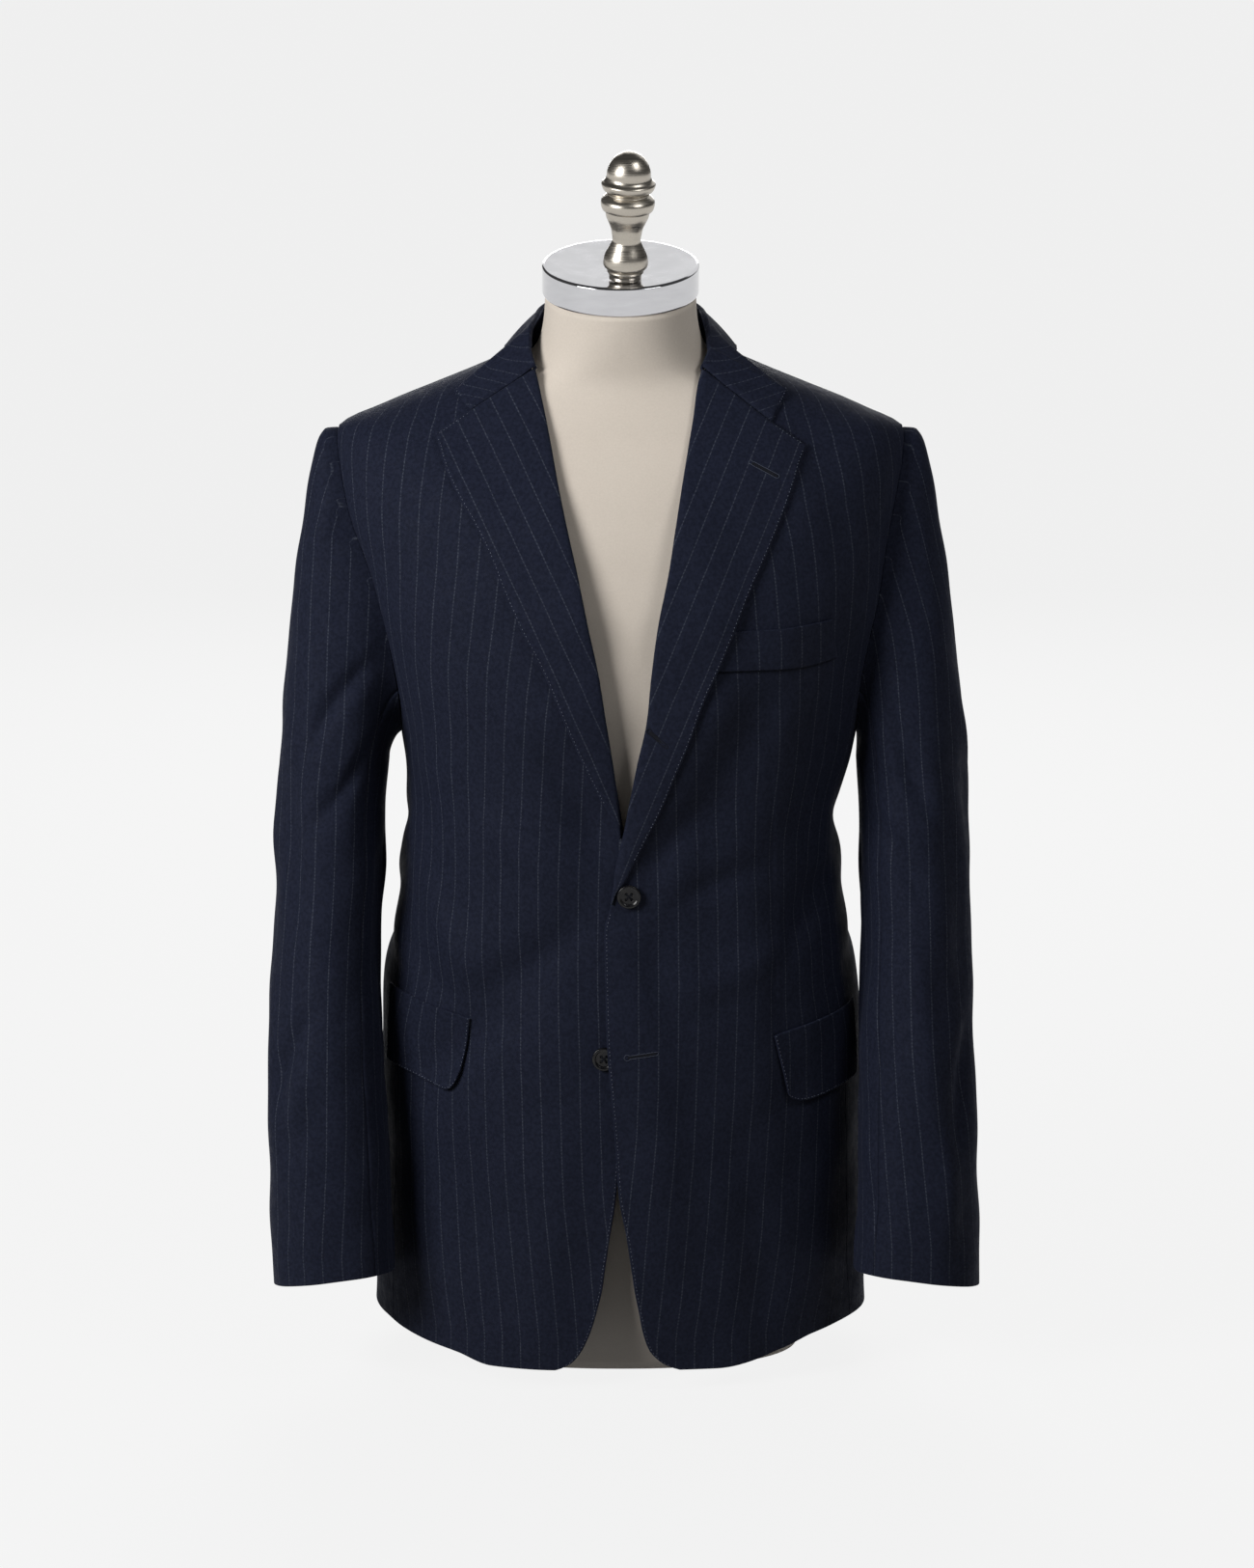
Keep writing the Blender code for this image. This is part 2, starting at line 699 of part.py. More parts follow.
def sleeve_ring(side, z, share):
    """A point round the sleeve at a height: share 0 outside, 0.25 front, 0.5 body side, 0.75 back."""
    first = 1 if side > 0 else 3
    table = tuple(reversed(SLEEVE))
    outer = smooth(table, first, z)
    inner = smooth(table, first + 1, z)
    middle = smooth(table, 5, z)
    depth = smooth(table, 6, z)
    turn = 2 * math.pi * share
    c, s = math.cos(turn), math.sin(turn)
    x = (outer + inner) / 2 + (outer - inner) / 2 * math.copysign(abs(c) ** (2 / SLEEVE_POWER), c)
    y = middle - depth * math.copysign(abs(s) ** (2 / SLEEVE_POWER), s)
    low = fade(z, table[0][0], table[0][0] + CUFF_FADE)
    drop = CUFF_SIDE_TILT * (x - (outer + inner) / 2) + CUFF_FRONT_TILT * (y - middle)
    return np.array((side * x, y, z - drop * low))


def hermite(start, leave, end, arrive, t):
    value = (2 * t**3 - 3 * t**2 + 1) * start
    value = value + (t**3 - 2 * t**2 + t) * leave
    value = value + (3 * t**2 - 2 * t**3) * end
    return value + (t**3 - t**2) * arrive


def sleeve_grid(side):
    """Rows of the sleeve's face from the armhole to the cuff, and the armhole's way inwards."""
    spots = armhole_ring(side)
    face = [torso(a, z) for a, z in spots]
    normals = [torso_normal(a, z) for a, z in spots]
    count = len(face)
    shares = ring_shares(face)
    centre = sum(face) / count
    starts = []
    inwards = []
    leaves = []
    for i in range(count):
        along = face[(i + 1) % count] - face[i - 1]
        into = unit(np.cross(normals[i], along))
        if np.dot(into, centre - face[i]) < 0:
            into = -into
        starts.append(face[i] + into * SEAM_HALF_GAP)
        inwards.append(unit(into - normals[i]))
        away = unit((face[i] - centre) * np.array((0, 1, 1)))
        top = (1 + math.cos(2 * math.pi * shares[i])) / 2
        out = np.array((side, 0, 0)) + away * mix(0.55, -0.02, top)
        leaves.append(unit(out) * mix(0.018, 0.092, top))
    first = SLEEVE[0][0]
    rows = []
    for t in CAP_STEPS:
        row = []
        for i in range(count):
            end = sleeve_ring(side, first, shares[i])
            arrive = np.array((0, 0, -1.15 * (starts[i][2] - first)))
            rope = SLEEVE_ROPE * bump(t - 0.075, 0.055) * max(0.0, math.cos(2 * math.pi * shares[i]))
            full = hermite(starts[i], leaves[i], end, arrive, t)
            row.append(full + np.array((side * rope, 0.0, 0.3 * rope)))
        rows.append(row)
    for line in SLEEVE:
        rows.append([sleeve_ring(side, line[0], share) for share in shares])
    return rows, inwards


def tube_normals(grid):
    """Outward normals of a closed grid."""
    rows = len(grid)
    columns = len(grid[0])
    found = []
    for r in range(rows):
        line = []
        for c in range(columns):
            along = grid[min(r + 1, rows - 1)][c] - grid[max(r - 1, 0)][c]
            across = grid[r][(c + 1) % columns] - grid[r][c - 1]
            normal = unit(np.cross(along, across))
            middle = sum(grid[r]) / columns
            if np.dot(normal, grid[r][c] - middle) < 0:
                normal = -normal
            line.append(normal)
        found.append(line)
    return found


def build_sleeve(side, names, look):
    outer, inwards = sleeve_grid(side)
    normals = tube_normals(outer)
    inner = []
    for r, row in enumerate(outer):
        blend = (1.0, 0.55, 0.25)[r] if r < 3 else 0.0
        line = []
        for c, point in enumerate(row):
            way = unit(inwards[c] * blend - normals[r][c] * (1.0 - blend))
            line.append(point + way * CLOTH)
        inner.append(line)
    count = len(outer[0])
    front = round(UNDER_SLEEVE[0] * count)
    back = round(UNDER_SLEEVE[1] * count)
    under = list(range(front, back + 1))
    top = [i % count for i in range(back, count + front + 1)]
    for name, columns in ((names[0], top), (names[1], under)):
        face = [[row[i] for i in columns] for row in outer]
        lining = [[row[i] for i in columns] for row in inner]
        for grid in (face, lining):
            trim_columns(grid, True, True)
        wall(name, face, lining, look)


def gorge_z(side, x):
    """Height of the gorge seam and of the lapel's upper edge."""
    table = LAPEL_LEFT if side > 0 else LAPEL_RIGHT
    notch = NOTCH_LEFT if side > 0 else NOTCH_RIGHT
    roll_x, roll_z, corner_x, corner_z = table[-1]
    if abs(x) < abs(notch[0]):
        return mix(roll_z, notch[1], (x - roll_x) / (notch[0] - roll_x))
    return mix(notch[1], corner_z, (x - notch[0]) / (corner_x - notch[0]))


def welt_room(side, x, z):
    """The left lapel stands off the breast welt's end."""
    if side < 0:
        return 0.0
    return 0.0030 * bump(math.hypot(x - 0.070, z - 0.557), 0.034)


def lapel_point(side, roll, edge, share, lift, top):
    x = mix(roll[0], edge[0], share)
    z = gorge_z(side, x) if top else mix(roll[1], edge[1], share)
    return on_front(side, x, z, lift + welt_room(side, x, z) * min(1.0, max(0.0, share * 3)))


def lapel_line(side, roll, edge, top):
    width = math.hypot(edge[0] - roll[0], edge[1] - roll[1])
    small = min(1.0, width / 0.012)
    face = []
    under = []
    for near_face, up_face, near_under, up_under in LAPEL_FOLD:
        face.append(lapel_point(side, roll, edge, near_face * small / width, up_face, top))
        under.append(lapel_point(side, roll, edge, near_under / width, up_under, top))
    for share, up_face, up_under in LAPEL_SPREAD:
        start = min(0.3, 0.0025 / width)
        at = mix(start, 1.0, share)
        face.append(lapel_point(side, roll, edge, at, up_face, top))
        under.append(lapel_point(side, roll, edge, at, up_under, top))
    return face, under


def build_lapel(side, name, look):
    table = LAPEL_LEFT if side > 0 else LAPEL_RIGHT
    faces = []
    unders = []
    for i, (roll_x, roll_z, edge_x, edge_z) in enumerate(table):
        face, under = lapel_line(side, (roll_x, roll_z), (edge_x, edge_z), i == len(table) - 1)
        faces.append(face)
        unders.append(under)
    for grid in (faces, unders):
        grid[-1] = trimmed(grid[-1], grid[-2])
    wall(name, faces, unders, look)


def collar_row(side, row):
    """A row of a collar table with angles in place of x, and its fold on this side."""
    seam, seam_z, fold_x, fold_y, fold_z, edge, edge_z, stand = row
    if abs(seam) < 1.0:
        seam = abs(angle_of_x(seam, seam_z))
        edge = abs(angle_of_x(edge, edge_z))
    return np.array((seam, seam_z, abs(fold_x), fold_y, fold_z, edge, edge_z, stand))


def seam_ways(side, angle, z, stand):
    """The point of the neck seam, the way out of the panel there and the panel's normal."""
    spot = torso(side * angle, z)
    upward = unit(torso(side * angle, z + 0.001) - spot)
    inward = unit(torso(side * (angle - 2.0), z) - spot)
    if stand == 0.0:
        x = spot[0] - side * 0.004
        inward = unit(on_torso(angle_of_x(x, gorge_z(side, x)), gorge_z(side, x), 0.0) - spot)
    leave = unit(mix(inward, upward, min(1.0, stand * 1.4)))
    return spot, leave, torso_normal(side * angle, z)


def collar_section(side, row):
    """Face and under side of the collar across one station, from the neck seam to the edge."""
    seam_angle, seam_z, fold_x, fold_y, fold_z, edge_angle, edge_z, stand = row
    seam, leave, normal = seam_ways(side, seam_angle, seam_z, stand)
    fold = np.array((side * fold_x, fold_y, fold_z))
    upward = unit(mix(leave, np.array((0, 0, 1.0)), stand))
    if stand == 0.0:
        fold = seam + leave * (0.0012 + FOLD_RADIUS) + normal * 0.0012
    outward = unit(normal - upward * np.dot(normal, upward))
    centre = fold - upward * FOLD_RADIUS
    small = FOLD_RADIUS - 0.0020
    foot = seam + leave * 0.0005
    face = [foot - normal * CLOTH]
    under = [foot]
    face.append(centre - outward * FOLD_RADIUS)
    under.append(centre - outward * small)
    face.append(centre + upward * FOLD_RADIUS)
    under.append(centre + upward * small)
    face.append(centre + outward * FOLD_RADIUS)
    under.append(centre + outward * small)
    edge_normal = torso_normal(side * edge_angle, edge_z)
    over = UNDER_COLLAR + SHOULDER_ROOM * bump(edge_angle - 88.0, 22.0)
    end_under = torso(side * edge_angle, edge_z) + edge_normal * over
    end_face = end_under + edge_normal * LAPEL_CLOTH
    for share in (0.25, 0.5, 0.75, 1.0):
        swell = edge_normal * 0.0010 * math.sin(math.pi * share) * stand
        face.append(mix(face[3], end_face, share) + swell)
        under.append(mix(under[3], end_under, share) + swell)
    return face, under


def between(before, start, end, after, t):
    """A smooth value between two of four neighbours."""
    return hermite(start, (end - before) / 2, end, (after - start) / 2, t)


def collar_half(side):
    """Stations from the gorge to the centre back."""
    front = COLLAR_LEFT if side > 0 else COLLAR_RIGHT
    rows = [collar_row(side, row) for row in front + COLLAR_BACK]
    last = len(rows) - 1
    found = [rows[0]]
    for i in range(1, last):
        found.append(rows[i])
        before = rows[max(1, i - 1)]
        after = rows[i + 2] if i + 2 <= last else mirrored(rows[last - 1])
        for t in (1 / 3, 2 / 3):
            found.append(between(before, rows[i], rows[i + 1], after, t))
    return found + [rows[last]]


def mirrored(row):
    """The row past the centre back as this side counts it."""
    seam, seam_z, fold_x, fold_y, fold_z, edge, edge_z, stand = row
    return np.array((360.0 - seam, seam_z, -fold_x, fold_y, fold_z, 360.0 - edge, edge_z, stand))


def gorge_end(side, face, under):
    """The collar's end lies along the gorge seam."""
    table = COLLAR_LEFT if side > 0 else COLLAR_RIGHT
    for i in range(4, 8):
        share = (i - 3) / 4
        x = mix(table[0][0], table[0][5], share)
        z = gorge_z(side, x) + GORGE_GAP
        angle = angle_of_x(x, z)
        face[i] = on_torso(angle, z, mix(0.0036, UNDER_COLLAR + LAPEL_CLOTH, share))
        under[i] = on_torso(angle, z, mix(0.0014, UNDER_COLLAR, share))


def build_collar(name, look):
    faces = []
    unders = []
    for side in (1, -1):
        sections = [collar_section(side, row) for row in collar_half(side)]
        gorge_end(side, *sections[0])
        if side < 0:
            sections = list(reversed(sections[:-1]))
        faces += [face for face, _ in sections]
        unders += [under for _, under in sections]
    wall(name, faces, unders, look)


def laid_piece(side, table, gap, thickness, rows):
    """A piece that lies on the front panel, between two lines of x and z."""
    face = []
    under = []
    for i in range(rows + 1):
        share = i / rows
        line = [(mix(a, c, share), mix(b, d, share)) for a, b, c, d in table]
        face.append([on_front(side, x, z, gap + thickness) for x, z in line])
        under.append([on_front(side, x, z, gap) for x, z in line])
    return face, under


def build_button(name, side, spot, look):
    x, z = spot
    base = on_front(side, x, z, BUTTON_GAP)
    normal = torso_normal(angle_of_x(x, z), z)
    radius = BUTTON_DIAMETER / 2
    thick = BUTTON_THICKNESS
    profile = (
        (0.0, radius * 0.80),
        (thick * 0.30, radius * 0.96),
        (thick * 0.55, radius),
        (thick * 0.90, radius * 0.95),
        (thick, radius * 0.86),
        (thick * 0.94, radius * 0.74),
        (thick * 0.72, radius * 0.66),
    )
    made = turned(name, profile, base, normal, BUTTON_SIDES, look)
    for sx in (-1, 1):
        for sz in (-1, 1):
            drill(made, base, normal, sx * BUTTON_HOLE_SPACING / 2, sz * BUTTON_HOLE_SPACING / 2)


def drill(made, base, axis, right, up):
    across = unit(np.cross(axis, np.array((0, 0, 1.0))))
    over = np.cross(axis, across)
    start = base + across * right + over * up - axis * 0.002
    profile = ((0.0, BUTTON_HOLE / 2), (BUTTON_THICKNESS + 0.004, BUTTON_HOLE / 2))
    cutter = turned("hole_cutter", profile, start, axis, 8, None)
    cutter.hide_render = True
    cutter.hide_set(True)
    cut = made.modifiers.new("hole", "BOOLEAN")
    cut.operation = "DIFFERENCE"
    cut.solver = "EXACT"
    cut.object = cutter


def turned(name, profile, base, axis, sides, look):
    """A turned solid: rows of (height, radius) round an axis, with flat ends."""
    across = unit(np.cross(axis, np.array((0.0, 1.0, 0.31))))
    over = np.cross(axis, across)
    points = []
    for height, radius in profile:
        for i in range(sides):
            turn = 2 * math.pi * i / sides
            spread = across * math.cos(turn) + over * math.sin(turn)
            points.append(base + axis * height + spread * radius)
    low = len(points)
    points.append(base + axis * profile[0][0])
    points.append(base + axis * profile[-1][0])
    triangles = []
    for row in range(len(profile) - 1):
        first = [row * sides + i % sides for i in range(sides + 1)]
        second = [i + sides for i in first]
        strip(first, second, triangles, False)
    last = (len(profile) - 1) * sides
    for i in range(sides):
        after = (i + 1) % sides
        triangles.append((low, after, i))
        triangles.append((low + 1, last + i, last + after))
    if look is None:
        look = material("cutter", BLACK_HORN)
    return solid(name, points, triangles, look)


def form_ring_point(angle, z):
    flat = fade(z, 0.60, 0.66)
    normal = torso_normal(angle, z) * np.array((1, 1, 1.0 - flat))
    return torso(angle, z) - unit(normal) * (CLOTH + smooth(FORM_GAP, 1, z))


def neck_start(angle):
    return 0.7375 - 0.0175 * math.cos(math.radians(angle))


def neck_end(angle):
    turn = math.radians(angle)
    x = NECK_RADIUS * math.sin(turn)
    y = NECK_CENTRE_Y - NECK_RADIUS * math.cos(turn)
    return np.array((x, y, NECK_TOP + (y - NECK_CENTRE_Y) * math.tan(CAP_TILT)))


def form_column(angle):
    column = [form_ring_point(angle, z) for z in FORM_ROWS]
    top = neck_start(angle)
    for share in FORM_UPPER:
        column.append(form_ring_point(angle, mix(FORM_ROWS[-1], top, share)))
    slope = unit(column[-1] - form_ring_point(angle, top - 0.004))
    end = neck_end(angle)
    reach = np.linalg.norm(end - column[-1])
    start = column[-1]
    for t in NECK_STEPS:
        column.append(hermite(start, slope * reach * 1.5, end, np.array((0, 0, reach * 1.9)), t))
    return column


def build_form(name, look):
    angles = [-180.0 + 360.0 * i / FORM_COLUMNS for i in range(FORM_COLUMNS)]
    columns = [form_column(angle) for angle in angles]
    rows = len(columns[0])
    points = [columns[c][r] for r in range(rows) for c in range(FORM_COLUMNS)]
    low = len(points)
    points.append(np.array((0.0, 0.0, 0.0)))
    points.append(np.array((0.0, NECK_CENTRE_Y, NECK_TOP)))
    triangles = []
    for row in range(rows - 1):
        first = [row * FORM_COLUMNS + i % FORM_COLUMNS for i in range(FORM_COLUMNS + 1)]
        strip(first, [i + FORM_COLUMNS for i in first], triangles, False)
    last = (rows - 1) * FORM_COLUMNS
    for i in range(FORM_COLUMNS):
        after = (i + 1) % FORM_COLUMNS
        triangles.append((low, after, i))
        triangles.append((low + 1, last + i, last + after))
    solid(name, points, triangles, look)


def build_cap_and_finial(chrome, nickel):
    axis = np.array((0.0, -math.sin(CAP_TILT), math.cos(CAP_TILT)))
    base = np.array((0.0, NECK_CENTRE_Y, NECK_TOP)) + axis * PART_GAP
    profile = (
        (0.0, CAP_RADIUS - 0.0008),
        (0.0008, CAP_RADIUS),
        (CAP_HEIGHT - 0.0018, CAP_RADIUS),
        (CAP_HEIGHT - 0.0006, CAP_RADIUS - 0.0005),
        (CAP_HEIGHT, CAP_RADIUS - 0.0018),
    )
    turned("neck_cap", profile, base, axis, CAP_SIDES, chrome)
    lean = unit(axis + np.array((math.tan(FINIAL_LEAN), 0.0, 0.0)))
    forward = np.array((0.0, -math.cos(CAP_TILT), -math.sin(CAP_TILT)))
    place = forward * FINIAL_FORWARD + np.array((FINIAL_SIDEWAYS, 0.0, 0.0))
    foot = base + place + axis * (CAP_HEIGHT + PART_GAP + 0.0005)
    turned("finial", FINIAL, foot, lean, FINIAL_SIDES, nickel)


def build():
    clear_scene()
    cloth = material("navy_suiting", NAVY)
    canvas = material("form_canvas", LIGHT_CANVAS)
    chrome = material("polished_chrome", CHROME, 1.0, 0.12)
    nickel = material("brushed_nickel", NICKEL, 1.0, 0.3)
    horn = material("dark_horn", BLACK_HORN, 0.0, 0.3)
    for side, word in ((1, "left"), (-1, "right")):
        build_front(side, "front_" + word, cloth)
        build_side(side, "side_" + word, cloth)
        build_back(side, "back_" + word, cloth)
        build_sleeve(side, ("sleeve_top_" + word, "sleeve_under_" + word), cloth)
        build_lapel(side, "lapel_" + word, cloth)
        table = FLAP_LEFT if side > 0 else FLAP_RIGHT
        face, under = laid_piece(side, table, FLAP_GAP, FLAP_CLOTH, 3)
        wall("pocket_flap_" + word, face, under, cloth)
    face, under = laid_piece(1, WELT, WELT_GAP, WELT_CLOTH, 2)
    wall("breast_welt", face, under, cloth)
    build_collar("collar", cloth)
    build_button("button_middle", 1, MIDDLE_BUTTON, horn)
    build_button("button_lower", -1, LOWER_BUTTON, horn)
    build_form("form_torso", canvas)
    build_cap_and_finial(chrome, nickel)


build()
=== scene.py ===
"""Visual model of a chalk stripe suit jacket on a dress form, with its floor, lights and camera.

Heights are z in metres over the floor. Angles go round the body in degrees: 0 is the front, 90 the
side, 180 the back, and they are negative on the wearer's right, which is -X. The front faces -Y.
"""

import math

import bpy
import numpy as np
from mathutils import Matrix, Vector


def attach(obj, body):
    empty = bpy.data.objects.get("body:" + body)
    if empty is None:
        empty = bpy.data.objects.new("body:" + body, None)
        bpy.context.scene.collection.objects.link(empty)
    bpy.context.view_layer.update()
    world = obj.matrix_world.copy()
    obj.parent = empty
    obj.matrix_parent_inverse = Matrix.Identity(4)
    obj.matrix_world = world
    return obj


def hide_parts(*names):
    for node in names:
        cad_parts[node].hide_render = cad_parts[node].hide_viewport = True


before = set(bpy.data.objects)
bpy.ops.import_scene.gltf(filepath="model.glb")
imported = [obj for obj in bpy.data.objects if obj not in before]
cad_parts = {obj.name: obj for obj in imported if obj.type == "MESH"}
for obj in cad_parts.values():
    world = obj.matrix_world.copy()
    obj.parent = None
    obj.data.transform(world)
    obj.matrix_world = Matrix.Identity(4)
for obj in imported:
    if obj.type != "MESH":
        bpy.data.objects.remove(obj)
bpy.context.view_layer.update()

DETAIL = 1.0
SIDES = ((1, "left"), (-1, "right"))

CLOTH = 0.0018
LAPEL_CLOTH = 0.0022
FOLD_RADIUS = 0.0024
UNDER_COLLAR = 0.0012
SHOULDER_ROOM = 0.0010
GORGE_GAP = 0.0006
FRONT_LAP = 0.0013
FRONT_ROLL_LIFT = 0.0042
BUTTON_DIAMETER = 0.0175
BUTTON_THICKNESS = 0.0030
BUTTON_HOLE = 0.0018
BUTTON_HOLE_SPACING = 0.0040
MIDDLE_BUTTON = (0.0061, 0.3769)
LOWER_BUTTON = (-0.0122, 0.2546)
FLAP_CLOTH = 0.0020
FLAP_GAP = 0.0006
WELT_CLOTH = 0.0016
WELT_GAP = 0.0006
NECK_RADIUS = 0.0555
NECK_CENTRE_Y = -0.0030
NECK_TOP = 0.8030
CAP_RADIUS = 0.0575
CAP_HEIGHT = 0.0220
CAP_TILT = math.radians(13.0)
PART_GAP = 0.0003
BUTTON_GAP = 0.0008
FINIAL_SIDEWAYS = 0.0033
FINIAL_FORWARD = 0.0360
FINIAL_LEAN = math.radians(2.0)

# height, half_width, front and back depth from the middle, middle, superellipse power
TORSO = (
    (0.0, 0.189, 0.134, 0.126, 0.0, 2.25),
    (0.05, 0.187, 0.134, 0.128, 0.0, 2.25),
    (0.1, 0.185, 0.133, 0.129, 0.0, 2.25),
    (0.15, 0.183, 0.132, 0.13, 0.0, 2.25),
    (0.2, 0.1825, 0.13, 0.129, 0.0, 2.25),
    (0.25, 0.1815, 0.129, 0.126, 0.0, 2.28),
    (0.307, 0.1767, 0.127, 0.12, 0.0, 2.32),
    (0.36, 0.166, 0.124, 0.112, 0.0, 2.38),
    (0.42, 0.1622, 0.124, 0.108, 0.0, 2.4),
    (0.47, 0.169, 0.128, 0.112, 0.0, 2.4),
    (0.52, 0.178, 0.133, 0.118, 0.0, 2.4),
    (0.57, 0.1885, 0.132, 0.122, 0.0, 2.4),
    (0.62, 0.1985, 0.122, 0.122, 0.001, 2.4),
    (0.66, 0.2075, 0.107, 0.114, 0.003, 2.35),
    (0.69, 0.2105, 0.09, 0.101, 0.005, 2.25),
    (0.705, 0.2055, 0.08, 0.092, 0.006, 2.15),
    (0.7192, 0.177, 0.073, 0.083, 0.007, 2.1),
    (0.7335, 0.1415, 0.067, 0.075, 0.008, 2.1),
    (0.7478, 0.106, 0.063, 0.066, 0.009, 2.1),
    (0.758, 0.0835, 0.059, 0.06, 0.01, 2.1),
    (0.77, 0.068, 0.055, 0.055, 0.01, 2.1),
    (0.78, 0.06, 0.052, 0.052, 0.01, 2.1),
)

# height, x of the left front's edge, x of the right front's edge; over 0.38 it is the roll line
FRONT_EDGE = (
    (0.0165, 0.044, -0.0485), (0.019, 0.0365, -0.0415), (0.0229, 0.0297, -0.0354),
    (0.0327, 0.0211, -0.0282), (0.0477, 0.0161, -0.0217), (0.0627, 0.0133, -0.0174),
    (0.0776, 0.0104, -0.0138), (0.0924, 0.0083, -0.0117), (0.122, 0.004, -0.0074),
    (0.151, -0.0013, -0.0031), (0.188, -0.0038, -0.0002), (0.2315, -0.0073, 0.0033),
    (0.26, -0.0096, 0.0056), (0.2923, -0.0108, 0.0068), (0.349, -0.0118, 0.0078),
    (0.37, -0.007, 0.0068), (0.384, -0.004, 0.0055), (0.42, 0.002, 0.0026), (0.436, 0.005, 0.0004),
    (0.475, 0.0125, -0.0056), (0.505, 0.0192, -0.0103), (0.54, 0.0233, -0.0165),
    (0.575, 0.0289, -0.0249), (0.61, 0.0364, -0.0325), (0.64, 0.0412, -0.0396),
    (0.67, 0.0462, -0.0463), (0.695, 0.0508, -0.0514), (0.715, 0.0545, -0.0557),
    (0.733, 0.0572, -0.06), (0.749, 0.061, -0.064), (0.757, 0.0655, -0.067), (0.764, 0.07, -0.07),
)

# angle, how far the hem lies over the lowest row on the wearer's right, the same on the left
HEM_RISE = (
    (0.0, 0.001, 0.001), (20.0, -0.001, 0.0), (28.0, -0.0005, 0.0032), (38.0, 0.0072, 0.0105),
    (48.0, 0.0108, 0.018), (60.0, 0.015, 0.0212), (72.0, 0.0185, 0.0212), (90.0, 0.018, 0.018),
    (120.0, 0.014, 0.014), (150.0, 0.01, 0.01), (180.0, 0.008, 0.008),
)
HEM_FADE = 0.16
CHEST_SWING = 0.034
BACK_NECK_RISE = 0.009

# height, y of the armhole's front line, y of its back line
ARMHOLE = (
    (0.474, 0.005, 0.005), (0.476, -0.01, 0.02), (0.483, -0.026, 0.036), (0.495, -0.039, 0.048),
    (0.5056, -0.0455, 0.0545), (0.535, -0.05, 0.062), (0.56, -0.0505, 0.064),
    (0.585, -0.0475, 0.063), (0.61, -0.0405, 0.059), (0.635, -0.032, 0.054), (0.655, -0.028, 0.047),
    (0.675, -0.019, 0.037), (0.688, -0.011, 0.027), (0.694, -0.0045, 0.017),
    (0.6975, 0.0055, 0.0055),
)
ARM_CORNER = 0.5056
ARM_TOP = 0.6975

# height, angle of the seam of front and side panel, angle of the seam of side and back panel
SIDE_SEAMS = (
    (0.0, 66.0, 116.0), (0.25, 67.0, 117.0), (0.42, 69.0, 116.0),
)

# roll_x, roll_z, edge_x, edge_z
LAPEL_LEFT = (
    (-0.0069, 0.371, -0.006, 0.3705), (-0.0054, 0.379, -0.003, 0.3785),
    (-0.0032, 0.389, 0.0036, 0.3885), (-0.0014, 0.4, 0.0082, 0.398), (0.002, 0.42, 0.0175, 0.417),
    (0.0067, 0.445, 0.0282, 0.44), (0.0125, 0.475, 0.0385, 0.466), (0.0192, 0.505, 0.049, 0.492),
    (0.0233, 0.54, 0.0593, 0.5218), (0.0289, 0.575, 0.072, 0.55), (0.0364, 0.61, 0.0835, 0.577),
    (0.0412, 0.64, 0.0932, 0.6), (0.0462, 0.67, 0.1037, 0.622), (0.0508, 0.695, 0.1135, 0.6435),
    (0.0545, 0.715, 0.1215, 0.663), (0.0572, 0.733, 0.1284, 0.6805), (0.061, 0.749, 0.136, 0.6972),
)
LAPEL_RIGHT = (
    (0.0024, 0.42, -0.001, 0.418), (0.0004, 0.436, -0.0053, 0.431), (-0.0021, 0.45, -0.0117, 0.443),
    (-0.0056, 0.475, -0.0215, 0.463), (-0.0103, 0.505, -0.0325, 0.488),
    (-0.0165, 0.54, -0.045, 0.5185), (-0.0249, 0.575, -0.0574, 0.547),
    (-0.0325, 0.61, -0.0718, 0.574), (-0.0396, 0.64, -0.0835, 0.5995),
    (-0.0463, 0.67, -0.0925, 0.622), (-0.0514, 0.695, -0.1035, 0.643),
    (-0.0557, 0.715, -0.116, 0.663), (-0.06, 0.733, -0.1275, 0.684),
    (-0.064, 0.749, -0.1355, 0.7042),
)
NOTCH_LEFT = (0.1098, 0.7126)
NOTCH_RIGHT = (-0.1083, 0.7209)

# across a lapel: distance from the roll line or share of the width, height of the face, of the under side
LAPEL_FOLD = (
    (-0.0011, -0.0016, -0.0005, -0.0014), (-0.0027, 0.0008, -0.0005, 0.0006),
    (-0.0016, 0.0029, -0.0001, 0.0009), (0.002, 0.0036, 0.002, 0.0013),
)
LAPEL_SPREAD = (
    (0.35, 0.0038, 0.0016), (0.7, 0.0036, 0.0014), (1.0, 0.0032, 0.001),
)

# collar stations from the gorge to the centre back: seam angle or x, seam z, fold x y z,
# edge angle or x, edge z, how far the fold stands up
COLLAR_LEFT = (
    (0.061, 0.7502, 0.06, -0.044, 0.75, 0.1098, 0.7132, 0.0),
    (0.0655, 0.757, 0.0638, -0.03, 0.763, 0.121, 0.7307, 0.35),
    (0.07, 0.764, 0.0642, -0.012, 0.775, 0.1113, 0.7384, 0.7),
)
COLLAR_RIGHT = (
    (-0.064, 0.7502, -0.063, -0.044, 0.75, -0.1083, 0.7215, 0.0),
    (-0.067, 0.757, -0.0655, -0.03, 0.764, -0.1201, 0.7308, 0.35),
    (-0.07, 0.764, -0.066, -0.012, 0.778, -0.11, 0.74, 0.7),
)
COLLAR_BACK = (
    (90.0, 0.764, 0.0625, 0.008, 0.7845, 64.0, 0.754, 1.0),
    (112.0, 0.766, 0.0585, 0.029, 0.7895, 98.0, 0.7575, 1.0),
    (134.0, 0.769, 0.047, 0.047, 0.794, 126.0, 0.752, 1.0),
    (157.0, 0.772, 0.025, 0.0585, 0.796, 153.0, 0.745, 1.0),
    (180.0, 0.773, 0.0, 0.062, 0.797, 180.0, 0.742, 1.0),
)

